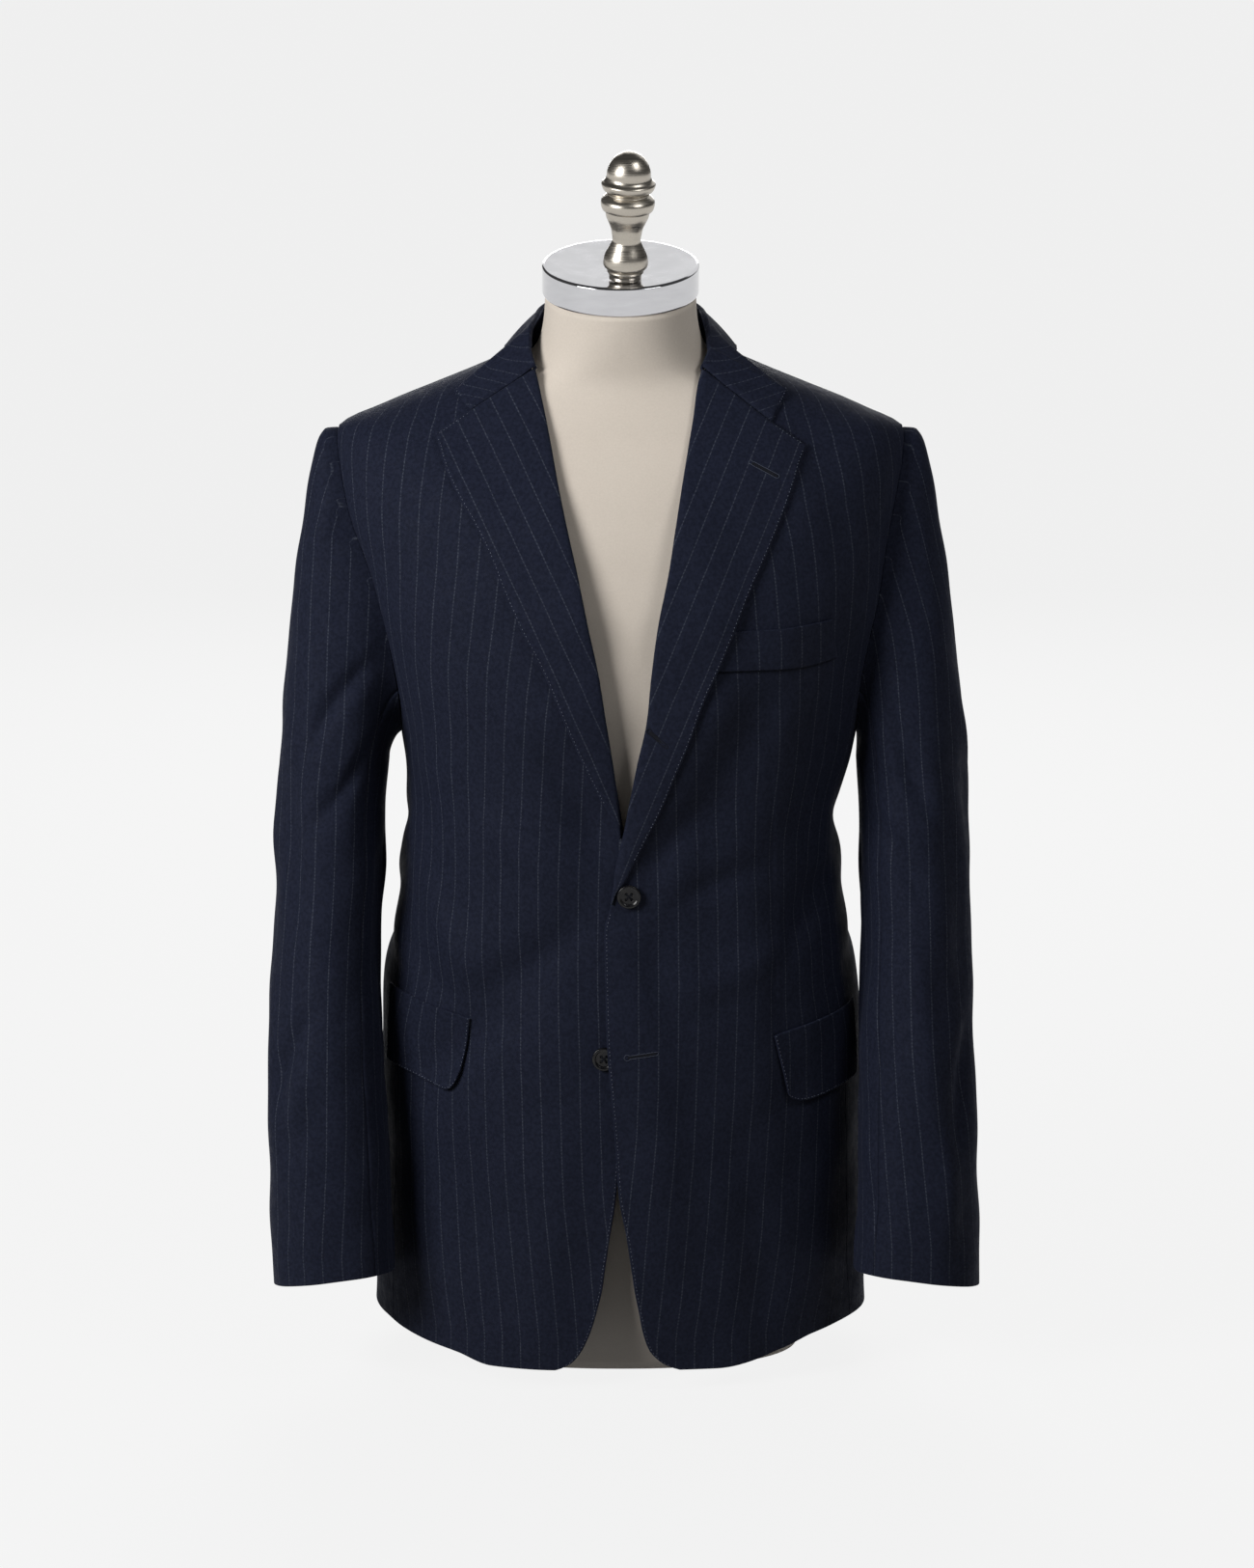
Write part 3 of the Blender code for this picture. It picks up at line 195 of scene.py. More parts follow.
# height, outer and inner x on the wearer's left, outer and inner x on the right, middle y, half depth
SLEEVE = (
    (0.455, 0.2557, 0.1765, 0.2535, 0.1735, -0.01, 0.066),
    (0.42, 0.2578, 0.1785, 0.255, 0.1765, -0.017, 0.065),
    (0.38, 0.261, 0.179, 0.2565, 0.1765, -0.026, 0.063),
    (0.34, 0.2615, 0.1795, 0.2585, 0.1785, -0.037, 0.061),
    (0.293, 0.262, 0.1785, 0.2605, 0.1795, -0.05, 0.058),
    (0.25, 0.263, 0.178, 0.2615, 0.1775, -0.063, 0.055),
    (0.2025, 0.265, 0.1775, 0.262, 0.1745, -0.075, 0.052),
    (0.15, 0.266, 0.177, 0.2615, 0.1715, -0.085, 0.05),
    (0.11, 0.267, 0.175, 0.26, 0.1695, -0.091, 0.048),
    (0.078, 0.2675, 0.1735, 0.2585, 0.1685, -0.095, 0.047),
)
SLEEVE_POWER = 2.2
SHOULDER_END_RISE = 0.0052
CUFF_SIDE_TILT = 0.125
CUFF_FRONT_TILT = 0.2
CUFF_FADE = 0.1
UNDER_SLEEVE = (0.37, 0.69)

# x, z of a flap's upper and lower line
FLAP_LEFT = (
    (0.1125, 0.2669, 0.1225, 0.2215), (0.12, 0.2686, 0.126, 0.2175), (0.133, 0.2712, 0.1335, 0.215),
    (0.146, 0.2739, 0.146, 0.2165), (0.157, 0.2761, 0.157, 0.2185), (0.166, 0.2779, 0.1665, 0.2205),
    (0.1735, 0.2795, 0.1745, 0.2225),
)
FLAP_RIGHT = (
    (-0.1138, 0.2787, -0.1192, 0.2385), (-0.121, 0.2804, -0.1235, 0.228),
    (-0.133, 0.2836, -0.13, 0.2235), (-0.145, 0.2862, -0.143, 0.2262),
    (-0.156, 0.2887, -0.155, 0.23), (-0.165, 0.29, -0.165, 0.2325),
    (-0.1725, 0.2912, -0.173, 0.2345),
)
WELT = (
    (0.074, 0.5718, 0.064, 0.5436), (0.087, 0.5719, 0.08, 0.5432), (0.1, 0.5721, 0.095, 0.5427),
    (0.1174, 0.5725, 0.1158, 0.5423), (0.134, 0.5738, 0.134, 0.5429),
    (0.146, 0.5749, 0.148, 0.5448), (0.1538, 0.5756, 0.158, 0.5462),
)

# height, how far the form lies under the cloth
FORM_GAP = (
    (0.0, 0.052), (0.015, 0.044), (0.04, 0.033), (0.08, 0.022), (0.13, 0.015), (0.18, 0.013),
    (0.3, 0.012), (0.42, 0.01), (0.5, 0.011), (0.58, 0.012), (0.64, 0.008), (0.675, 0.004),
    (0.69, 0.0024), (0.6975, 0.0019), (0.705, 0.0018), (0.713, 0.0012), (0.8, 0.0012),
)

# height, radius
FINIAL = (
    (0.0, 0.0117), (0.003, 0.0119), (0.0055, 0.0133), (0.0067, 0.013), (0.0097, 0.0159),
    (0.0134, 0.0162), (0.0176, 0.0154), (0.0219, 0.0134), (0.0255, 0.0116), (0.0292, 0.0103),
    (0.034, 0.0109), (0.0377, 0.0116), (0.0413, 0.013), (0.0462, 0.0152), (0.0498, 0.016),
    (0.0516, 0.0164), (0.0522, 0.0182), (0.0547, 0.0192), (0.0577, 0.0195), (0.0601, 0.0187),
    (0.0626, 0.0164), (0.0638, 0.015), (0.065, 0.0158), (0.0674, 0.0182), (0.0705, 0.0195),
    (0.0723, 0.0193), (0.0741, 0.0173), (0.0765, 0.0161), (0.0808, 0.0157), (0.085, 0.0143),
    (0.0893, 0.0118), (0.0923, 0.0088), (0.0944, 0.005), (0.095, 0.002),
)

SLEEVE_UP = tuple(reversed(SLEEVE))
NECK_FOOT = 0.7375
NECK_FOOT_TILT = 0.0175

# rows and columns of the grids, at full detail; a sleeve: head, tube, points round it
FRONT_GRID = (230, 62)
BACK_GRID = (180, 58)
SIDE_GRID = (150, 34)
SLEEVE_GRID = (64, 120, 200)
LAPEL_GRID = (150, 56)
COLLAR_GRID = (220, 62)
LAID_GRID = (36, 76)
# sizes over which a grid's points are spread
FRONT_BREADTH = 0.2
BACK_BREADTH = 0.18
SIDE_BREADTH = 0.13
SIDE_LENGTH = 0.48
LAID_DEPTH = 0.045
EDGE_RADIUS = 0.0009
EDGE_STEPS = np.array((0.0, 0.12, 0.35, 0.7, 1.1, 1.8))

# where the lap, the roll and the swell of the left front begin and end, across (x) and up (z)
LAP_REACH = (0.018, 0.065)
LAP_HEIGHTS = (0.455, 0.52)
ROLL_FOOT = (0.345, 0.41)
ROLL_HEAD = (0.45, 0.52)
PROW_REACH = (-0.002, 0.05)
PROW_HEIGHTS = (0.335, 0.372)
LOWER_BUTTON_REACH = 0.026
RIGHT_BUTTON_DIP = 0.0014
LEFT_BUTTON_RISE = 0.0027
BACK_NECK_HEIGHTS = (0.731, 0.764)
# how far off the armhole the creases begin, on the body and on the sleeve
ARMHOLE_CALM = (0.001, 0.025)
SLEEVE_CALM = (0.004, 0.05)
SLEEVE_GIRTH = 0.315
# the shoulder's lifted end: how far it reaches up and down, and to the front and back
SHOULDER_END_REACH = (0.006, 0.017)
SHOULDER_END_DEPTH = 0.024
# front dart: x at its foot and at its head, heights where it begins and ends
DART_X = (0.113, 0.109)
DART_END = (0.27, 0.28)
DART_HEAD = (0.5, 0.53)
DART_REACH = 0.25
DART_DEPTH = 0.0007
DART_BREADTH = 0.0011
# the stripes close up at the waist, towards the side
WAIST_LOW = (0.25, 0.31)
WAIST_HIGH = (0.4, 0.47)
WAIST_CLOSING = 0.19
WAIST_CLOSING_START = 0.1
# swells of the sleeve's head: height, place and reach, as shares of the way down to the tube
HEAD_SWELLS = (
    (0.0016, 0.04, 0.03), (0.0058, 0.12, 0.16), (0.0016, 0.34, 0.1),
)
HEAD_FIRST_ROWS = (0.0, 0.003, 0.007, 0.013)
# how the head leaves the armhole, under the arm and at the top: outwards share, pull
HEAD_SPREAD = (0.55, -0.02)
HEAD_LEAVE = (0.018, 0.058)
HEAD_ARRIVE = 1.15
HEAD_BARE = 0.012
# the left lapel over the welt's end (x, z)
WELT_END = (0.07, 0.557)
WELT_ROOM = 0.003
WELT_REACH = 0.034
LAPEL_STRIPE_SPACING = 0.014
BODY_RELIEF = 2.8
SLEEVE_RELIEF = 2.6
ROLL_SHIFT = 0.002
FRONT_PROW = 0.0024
FLAP_CURL = 0.0022
SEAM_HALF_GAP = 0.00006
SEAM_ROUND = 0.00055


# height, distance of the third stripe from the centre front, stripe spacing
STRIPES_RIGHT = (
    (0.04, 0.0323, 0.0142), (0.08, 0.0355, 0.0145), (0.118, 0.0389, 0.0146), (0.154, 0.042, 0.0144),
    (0.21, 0.0439, 0.0144), (0.27, 0.0452, 0.0147), (0.31, 0.0461, 0.0146), (0.35, 0.0459, 0.0147),
    (0.4, 0.0448, 0.0146), (0.47, 0.042, 0.0148), (0.515, 0.0378, 0.0154), (0.55, 0.032, 0.0161),
    (0.61, 0.0235, 0.0162), (0.66, 0.0165, 0.0164), (0.7, 0.0118, 0.0162), (0.716, 0.01, 0.016),
)
STRIPES_LEFT = (
    (0.04, 0.0268, 0.0141), (0.082, 0.031, 0.0147), (0.118, 0.034, 0.0149), (0.154, 0.037, 0.0147),
    (0.2, 0.0405, 0.0144), (0.244, 0.042, 0.0144), (0.31, 0.0425, 0.0147), (0.35, 0.0423, 0.0147),
    (0.4, 0.0415, 0.0148), (0.44, 0.0402, 0.0152), (0.49, 0.038, 0.0162), (0.53, 0.0358, 0.0165),
    (0.566, 0.034, 0.0165), (0.612, 0.028, 0.0168), (0.638, 0.0225, 0.0169), (0.66, 0.017, 0.0169),
    (0.7, 0.0135, 0.0161), (0.72, 0.015, 0.0153),
)
STRIPE_SPACING = 0.0146

# height, x of one stripe on the front of the sleeve
SLEEVE_STRIPE_LEFT = (
    (0.112, 0.2289), (0.183, 0.2217), (0.268, 0.2141), (0.367, 0.2125), (0.414, 0.2115),
    (0.469, 0.2067), (0.525, 0.2035), (0.563, 0.1985),
)
SLEEVE_STRIPE_RIGHT = (
    (0.105, 0.2201), (0.187, 0.2162), (0.296, 0.2152), (0.376, 0.2108), (0.441, 0.2084),
    (0.495, 0.203), (0.63, 0.1975),
)

# creases of the body, on its front and back: x and z of both ends, breadth, height, bend
FRONT_CREASES = (
    (-0.055, 0.322, -0.152, 0.215, 0.026, -0.003, 0.006),
    (-0.03, 0.352, -0.105, 0.3, 0.014, -0.0014, -0.004),
    (-0.15, 0.385, -0.104, 0.305, 0.012, 0.0016, 0.004),
    (-0.16, 0.335, -0.128, 0.29, 0.009, -0.0012, 0.002),
    (-0.055, 0.482, -0.008, 0.398, 0.013, -0.0018, -0.004),
    (-0.1, 0.43, -0.04, 0.385, 0.012, 0.001, 0.005),
    (-0.172, 0.54, -0.15, 0.43, 0.012, -0.0016, 0.005),
    (-0.12, 0.17, -0.085, 0.05, 0.022, -0.0014, 0.006),
    (-0.04, 0.22, -0.055, 0.06, 0.02, 0.0012, -0.004),
    (0.054, 0.44, 0.014, 0.382, 0.012, -0.0018, 0.004),
    (0.158, 0.385, 0.12, 0.325, 0.012, -0.002, 0.003),
    (0.14, 0.345, 0.05, 0.3, 0.014, 0.0012, -0.004),
    (0.1, 0.395, 0.04, 0.37, 0.01, -0.001, 0.003),
    (0.168, 0.56, 0.148, 0.45, 0.012, -0.0014, -0.005),
    (0.085, 0.2, 0.105, 0.05, 0.024, -0.0014, -0.006),
    (0.03, 0.25, 0.04, 0.08, 0.02, 0.001, 0.004),
    (0.04, 0.455, 0.078, 0.54, 0.018, 0.0014, 0.004),
    (0.066, 0.43, 0.112, 0.525, 0.017, -0.0014, -0.004),
    (0.024, 0.35, 0.032, 0.285, 0.013, -0.0012, 0.003),
    (-0.085, 0.265, -0.135, 0.215, 0.013, 0.0012, 0.003),
)
BACK_CREASES = (
    (-0.15, 0.395, -0.05, 0.345, 0.014, -0.002, 0.005),
    (-0.13, 0.35, -0.03, 0.318, 0.013, 0.0014, -0.004),
    (0.15, 0.385, 0.06, 0.35, 0.013, -0.0018, -0.005),
    (0.12, 0.43, 0.04, 0.392, 0.012, 0.0012, 0.004),
    (-0.11, 0.43, -0.02, 0.405, 0.012, -0.0012, 0.003),
    (-0.15, 0.6, -0.118, 0.47, 0.014, 0.0018, 0.005),
    (0.15, 0.61, 0.12, 0.48, 0.014, 0.0016, -0.005),
    (-0.07, 0.22, -0.085, 0.05, 0.024, -0.0016, 0.006),
    (0.06, 0.24, 0.078, 0.04, 0.024, -0.0014, -0.006),
    (-0.05, 0.705, 0.045, 0.7, 0.013, -0.001, 0.006),
)
# creases of the body's sides: y and z of both ends, breadth, height, bend
SIDE_CREASES = (
    (-0.06, 0.3, 0.06, 0.345, 0.014, -0.0012, 0.004),
    (0.08, 0.33, -0.02, 0.395, 0.012, 0.001, -0.004),
    (0.02, 0.24, 0.03, 0.06, 0.022, -0.0012, 0.005),
    (-0.04, 0.42, 0.05, 0.4, 0.011, -0.001, 0.003),
)
# creases of a sleeve: way round from the outer line towards the front and height of both ends,
# breadth, height, bend
SLEEVE_CREASES_RIGHT = (
    (0.1, 0.545, 0.058, 0.478, 0.009, -0.0022, 0.003),
    (0.112, 0.47, 0.066, 0.418, 0.008, -0.0016, -0.003),
    (0.016, 0.462, 0.012, 0.38, 0.01, 0.0016, 0.002),
    (0.04, 0.44, 0.052, 0.33, 0.012, -0.0014, 0.003),
    (0.07, 0.285, 0.03, 0.222, 0.008, -0.0018, 0.003),
    (0.064, 0.238, 0.048, 0.196, 0.009, 0.0014, -0.002),
    (0.02, 0.29, 0.034, 0.17, 0.012, 0.001, 0.003),
    (-0.04, 0.45, -0.01, 0.4, 0.01, -0.0014, 0.003),
    (-0.06, 0.38, -0.02, 0.35, 0.01, 0.0012, 0.002),
    (-0.1, 0.42, -0.06, 0.38, 0.01, -0.0016, -0.003),
    (-0.08, 0.26, -0.05, 0.18, 0.011, -0.0012, 0.003),
    (0.14, 0.4, 0.15, 0.3, 0.012, -0.0014, 0.003),
)
SLEEVE_CREASES_LEFT = (
    (0.02, 0.5, 0.004, 0.415, 0.01, 0.0017, 0.003),
    (0.096, 0.5, 0.07, 0.43, 0.009, -0.002, -0.003),
    (0.112, 0.42, 0.076, 0.37, 0.008, -0.0014, 0.003),
    (0.044, 0.4, 0.036, 0.3, 0.012, -0.0013, 0.003),
    (0.084, 0.33, 0.068, 0.2, 0.011, 0.0013, 0.003),
    (0.03, 0.27, 0.046, 0.19, 0.01, -0.0015, -0.003),
    (0.06, 0.19, 0.052, 0.12, 0.01, 0.001, 0.002),
    (-0.036, 0.44, -0.012, 0.385, 0.01, -0.0014, 0.003),
    (-0.07, 0.39, -0.03, 0.345, 0.01, 0.0012, 0.002),
    (-0.096, 0.3, -0.06, 0.2, 0.011, -0.0013, 0.003),
    (0.138, 0.38, 0.146, 0.28, 0.012, -0.0013, 0.003),
)


def smooth(table, column, at):
    """Values between a table's rows, on a smooth curve that never overshoots them."""
    heights = np.array([row[0] for row in table])
    values = np.array([row[column] for row in table])
    steps = np.diff(values) / np.diff(heights)
    product = steps[:-1] * steps[1:]
    total = np.where(product > 0, steps[:-1] + steps[1:], 1.0)
    slopes = np.concatenate((steps[:1], np.where(product > 0, 2 * product / total, 0.0), steps[-1:]))
    at = np.asarray(at, float)
    index = np.clip(np.searchsorted(heights, at, side="right") - 1, 0, len(heights) - 2)
    span = heights[index + 1] - heights[index]
    t = np.clip((at - heights[index]) / span, 0.0, 1.0)
    leave = slopes[index] * span
    arrive = slopes[index + 1] * span
    return hermite(values[index], leave, values[index + 1], arrive, t)


def hermite(start, leave, end, arrive, t):
    """A smooth step from start to end, t of the way, that leaves and arrives at the given slopes."""
    value = (2 * t**3 - 3 * t**2 + 1) * start + (t**3 - 2 * t**2 + t) * leave
    return value + (3 * t**2 - 2 * t**3) * end + (t**3 - t**2) * arrive


def bump(distance, reach):
    """1 in the middle, soft down to 0 some way past its reach."""
    return np.exp(-((distance / reach) ** 2))


def fade(value, start, end):
    """1 up to start, 0 past end, smooth between."""
    t = np.clip((value - start) / (end - start), 0.0, 1.0)
    return 1.0 - t * t * (3.0 - 2.0 * t)


def mix(start, end, share):
    return start + (end - start) * share


def length_of(vectors):
    return np.sqrt((vectors**2).sum(axis=-1))


def unit(vectors):
    return vectors / np.maximum(length_of(vectors), 1e-12)[..., None]


def interpolated(at, way, values):
    """Points or normals at some distances along a line, from those at the distances in way."""
    return np.stack([np.interp(at, way, values[:, i]) for i in range(3)], axis=-1)


def circle(across, over, sides):
    """Ways from the middle of a circle to even steps round it."""
    turn = (np.arange(sides) / sides * 2 * math.pi)[:, None]
    return across * np.cos(turn) + over * np.sin(turn)


def triangles(quads):
    return np.concatenate((quads[:, [0, 1, 2]], quads[:, [0, 2, 3]]))


def ring(z, side):
    """Half width, depths, middle and power at a height; the chest hangs a little to the left."""
    half_width, front, back, middle, power = (smooth(TORSO, column, z) for column in range(1, 6))
    swing = CHEST_SWING * (1.0 - fade(z, 0.40, 0.48)) * fade(z, 0.57, 0.65)
    return half_width * (1.0 + np.where(side < 0, -1.0, 1.0) * swing), front, back, middle, power


def signed_power(value, power):
    return np.sign(value) * np.abs(value) ** power


def torso(angle, z):
    """Points of the body's smooth surface, the cloth's outer face."""
    angle, z = np.broadcast_arrays(np.asarray(angle, float), np.asarray(z, float))
    half_width, front, back, middle, power = ring(z, angle)
    s = np.sin(np.radians(angle))
    c = np.cos(np.radians(angle))
    x = half_width * signed_power(s, 2 / power)
    y = middle - np.where(c > 0, front, back) * signed_power(c, 2 / power)
    return np.stack((x, y, z), axis=-1)


def outside(x, y, z):
    """Under 1 inside the body's level ring, 1 on it, over 1 outside."""
    half_width, front, back, middle, power = ring(z, x)
    depth = np.where(y < middle, front, back)
    return (np.abs(x) / half_width) ** power + (np.abs(y - middle) / depth) ** power


def torso_normal(angle, z):
    x, y, z = np.moveaxis(torso(angle, z), -1, 0)
    half_width, front, back, middle, power = ring(z, x)
    depth = np.where(y < middle, front, back)
    step = 0.0005
    along_x = power * (np.abs(x) / half_width) ** (power - 1) / half_width * np.sign(x)
    along_y = power * (np.abs(y - middle) / depth) ** (power - 1) / depth * np.sign(y - middle)
    along_z = (outside(x, y, z + step) - outside(x, y, z - step)) / (2 * step)
    return unit(np.stack((along_x, along_y, along_z), axis=-1))


def angle_of_x(x, z):
    half_width, _, _, _, power = ring(z, x)
    share = np.minimum(1.0, np.abs(x) / half_width)
    return np.sign(x) * np.degrees(np.arcsin(share ** (power / 2)))


def angle_of_y(y, z):
    _, front, back, middle, power = ring(z, 1.0)
    depth = np.where(y < middle, front, back)
    share = np.minimum(1.0, np.abs(y - middle) / depth)
    turned = np.degrees(np.arccos(share ** (power / 2)))
    return np.where(y < middle, turned, 180.0 - turned)


def front_lift(side, x, z):
    """The left front laps over the right one, rolls over its lapel and lies on its lower button."""
    lap = FRONT_LAP * fade(np.abs(x), *LAP_REACH) * fade(z, *LAP_HEIGHTS)
    on_button = bump(np.hypot(x - LOWER_BUTTON[0], z - LOWER_BUTTON[1]), LOWER_BUTTON_REACH)
    if side < 0:
        return -lap - RIGHT_BUTTON_DIP * on_button
    roll = (FRONT_ROLL_LIFT - FRONT_LAP) * fade(np.abs(x), *LAP_REACH)
    rise = (1.0 - fade(z, *ROLL_FOOT)) * fade(z, *ROLL_HEAD) * roll
    prow = FRONT_PROW * fade(x, *PROW_REACH) * fade(z, *PROW_HEIGHTS)
    return lap + rise + prow + LEFT_BUTTON_RISE * on_button


def hem(angle, z):
    """Heights with the hem's own line worked in, fading out above it."""
    right, left = (smooth(HEM_RISE, column, np.abs(angle)) for column in (1, 2))
    rise = np.where(np.asarray(angle) > 0, left, right)
    return z + rise * np.maximum(0.0, 1.0 - z / HEM_FADE)


def armhole_y(z, side):
    """How far forward or back the armhole's line runs at a height."""
    return smooth(ARMHOLE, 1 if side == "front" else 2, z)


ARM_CORNER_ANGLES = tuple(
    float(angle_of_y(armhole_y(ARM_CORNER, side), ARM_CORNER)) for side in ("front", "back")
)
SIDE_LINES = SIDE_SEAMS + ((ARM_CORNER,) + ARM_CORNER_ANGLES,)


def outer_angle(z, which):
    """Angle of the front's or the back's outer edge: side seam, then armhole, then shoulder seam."""
    z = np.asarray(z, float)
    seam = smooth(SIDE_LINES, 1 if which == "front" else 2, z)
    hole = angle_of_y(armhole_y(z, which), z)
    return np.where(z <= ARM_CORNER, seam, np.where(z >= ARM_TOP, 90.0, hole))


def armhole_floor(share):
    """Angle and height on the armhole's lower line, from the front corner (0) to the back (1)."""
    y = mix(armhole_y(ARM_CORNER, "front"), armhole_y(ARM_CORNER, "back"), np.asarray(share, float))
    low = np.full(y.shape, ARMHOLE[0][0])
    high = np.full(y.shape, ARM_CORNER)
    for _ in range(30):
        middle = (low + high) / 2
        reach = np.where(y < ARMHOLE[0][1], armhole_y(middle, "front"), armhole_y(middle, "back"))
        inside = np.abs(reach - ARMHOLE[0][1]) < np.abs(y - ARMHOLE[0][1])
        low = np.where(inside, middle, low)
        high = np.where(inside, high, middle)
    return angle_of_y(y, low), low


def armhole_ring(count):
    """Angles and heights round the armhole: top, down the front, under the arm, up the back."""
    heights = ARM_TOP - (ARM_TOP - ARM_CORNER) * (1 - np.cos(np.linspace(0, math.pi / 2, count)))
    floor = armhole_floor(np.linspace(0, 1, count)[1:-1])
    up = heights[::-1][:-1]
    angles = np.concatenate((outer_angle(heights, "front"), floor[0], outer_angle(up, "back")))
    return angles, np.concatenate((heights, floor[1], up))


RING_ANGLES, RING_HEIGHTS = armhole_ring(60)


def crease_lift(across, up, creases):
    """Sum of long soft ridges and troughs, each between two points, bent sideways a little."""
    total = np.zeros(np.shape(across))
    for u0, v0, u1, v1, breadth, height, bend in creases:
        reach = math.hypot(u1 - u0, v1 - v0)
        du, dv = (u1 - u0) / reach, (v1 - v0) / reach
        pu, pv = across - (u0 + u1) / 2, up - (v0 + v1) / 2
        along = (pu * du + pv * dv) / (reach / 2)
        aside = pu * dv - pv * du + bend * (along**2 - 0.5)
        total += height * np.exp(-((aside / breadth) ** 2) - np.abs(along) ** 3 * 0.9)
    return total


def waves(across, up):
    """The unevenness of cloth that hangs: three long waves at odd angles."""
    first = np.sin(across * 61 + up * 23 + 1.3) * np.sin(up * 31 - across * 12 + 0.4)
    second = np.sin(across * 97 - up * 41 + 2.1) * np.sin(up * 57 + across * 29)
    return 0.00038 * first + 0.00020 * second


def relief(points, normals):
    """How far the cloth of the body stands off its smooth surface, for its creases."""
    x, y, z = np.moveaxis(points, -1, 0)
    nx, ny, _ = np.moveaxis(normals, -1, 0)
    front = 1.0 - fade(-ny, 0.05, 0.55)
    back = 1.0 - fade(ny, 0.05, 0.55)
    sides = 1.0 - fade(np.abs(nx), 0.60, 0.92)
    total = front * crease_lift(x, z, FRONT_CREASES) + back * crease_lift(x, z, BACK_CREASES)
    total += sides * crease_lift(y, z, SIDE_CREASES)
    total += waves(x + 0.7 * y, z)
    return BODY_RELIEF * total * arm_distance_fade(points) * fade(z, 0.690, 0.735) * button_calm(x, z, ny)


def shoulder_rise(points):
    """The padded shoulder runs on straight to the sleeve's head: how far its end is lifted."""
    above = points[..., 2] - ARM_TOP
    reach = np.where(above > 0, *SHOULDER_END_REACH)
    rise = SHOULDER_END_RISE * bump(above, reach)
    rise = rise * bump(points[..., 1] - ARMHOLE[-1][1], SHOULDER_END_DEPTH)
    return rise[..., None] * np.array((0.0, 0.0, 1.0))


def button_calm(x, z, ny):
    near = bump(np.hypot(x - MIDDLE_BUTTON[0], z - MIDDLE_BUTTON[1]), 0.020)
    return 1.0 - 0.8 * near * (ny < 0)


def arm_distance_fade(points):
    """0 on the armhole's line, 1 from 25 mm off it."""
    flat = points.reshape(-1, 3).copy()
    flat[:, 0] = np.abs(flat[:, 0])
    nearest = np.full(len(flat), np.inf)
    for spot in torso(RING_ANGLES, RING_HEIGHTS)[::2]:
        nearest = np.minimum(nearest, length_of(flat - spot))
    return (1.0 - fade(nearest, *ARMHOLE_CALM)).reshape(points.shape[:-1])


def on_torso(angle, z, lift):
    """Points over the creased body, lift above its face, and the normals there."""
    points = torso(angle, z)
    normals = torso_normal(angle, z)
    return points + normals * (lift + relief(points, normals))[..., None] + shoulder_rise(points), normals


def on_front(side, x, z, lift):
    x, z = np.broadcast_arrays(np.asarray(x, float), np.asarray(z, float))
    return on_torso(angle_of_x(x, z), z, lift + front_lift(side, x, z))


def shares(count, width):
    """Shares from 0 to 1, close together near both ends for a rounded edge."""
    near = EDGE_STEPS * EDGE_RADIUS / width
    middle = np.linspace(near[-1] * 1.6, 1 - near[-1] * 1.6, max(3, int(count * DETAIL)))
    return np.concatenate((near, middle, 1 - near[::-1]))


def walked(points):
    """Distance walked along the last row of axes but one, from the first point."""
    steps = length_of(np.diff(points, axis=-2))
    return np.concatenate((np.zeros(steps.shape[:-1] + (1,)), np.cumsum(steps, axis=-1)), axis=-1)


def down_columns(points):
    """Distance walked down each column of a grid."""
    return walked(points.transpose(1, 0, 2)).T


def rounding(points, radii):
    """How far a face dips towards its edges: radii of the first and last row and column."""
    across = walked(points)
    along = down_columns(points)
    distances = (along, along[-1] - along, across, across[:, -1:] - across)
    dips = []
    for distance, radius in zip(distances, radii):
        inside = np.clip(1.0 - distance / radius, 0.0, 1.0) if radius else np.zeros(distance.shape)
        dips.append((radius or 0.0) * 0.94 * (1.0 - np.sqrt(1.0 - inside**2)))
    return np.max(dips, axis=0)


def trim(points, first_row, last_row, first, last):
    """Seam edges drawn back a hair, so that neighbours stay apart."""
    if first_row:
        points[0] += unit(points[1] - points[0]) * SEAM_HALF_GAP
    if last_row:
        points[-1] += unit(points[-2] - points[-1]) * SEAM_HALF_GAP
    if first:
        points[:, 0] += unit(points[:, 1] - points[:, 0]) * SEAM_HALF_GAP
    if last:
        points[:, -1] += unit(points[:, -2] - points[:, -1]) * SEAM_HALF_GAP
    return points


def grid_faces(rows, columns, base=0, closed=False):
    """Quads of a grid of points, row by row."""
    last = columns if closed else columns - 1
    row, column = np.meshgrid(np.arange(rows - 1) * columns, np.arange(last), indexing="ij")
    after = (column + 1) % columns
    quads = (row + column, row + after, row + columns + after, row + columns + column)
    return np.stack([corner.ravel() for corner in quads], axis=1) + base


def mesh_object(name, points, faces, looks, uv=None, slots=None):
    """A smooth-shaded mesh object with its faces turned outwards."""
    points = np.asarray(points, float).reshape(-1, 3)
    faces = np.asarray(faces)
    first, second, third = points[faces[:, 0]], points[faces[:, 1]], points[faces[:, 2]]
    volume = (first * np.cross(second, third)).sum()
    if faces.shape[1] == 4:
        volume += (first * np.cross(third, points[faces[:, 3]])).sum()
    if volume < 0:
        faces = faces[:, ::-1]
    mesh = bpy.data.meshes.new(name)
    mesh.from_pydata(points.tolist(), [], faces.tolist())
    mesh.polygons.foreach_set("use_smooth", np.ones(len(faces), bool))
    if uv is not None:
        layer = mesh.uv_layers.new(name="cloth")
        layer.data.foreach_set("uv", np.asarray(uv, float).reshape(-1, 2)[faces.ravel()].ravel())
    for look in looks:
        mesh.materials.append(look)
    if slots is not None:
        mesh.polygons.foreach_set("material_index", np.asarray(slots, np.int32))
    mesh.update()
    made = bpy.data.objects.new(name, mesh)
    bpy.context.scene.collection.objects.link(made)
    return made


FACES = {}


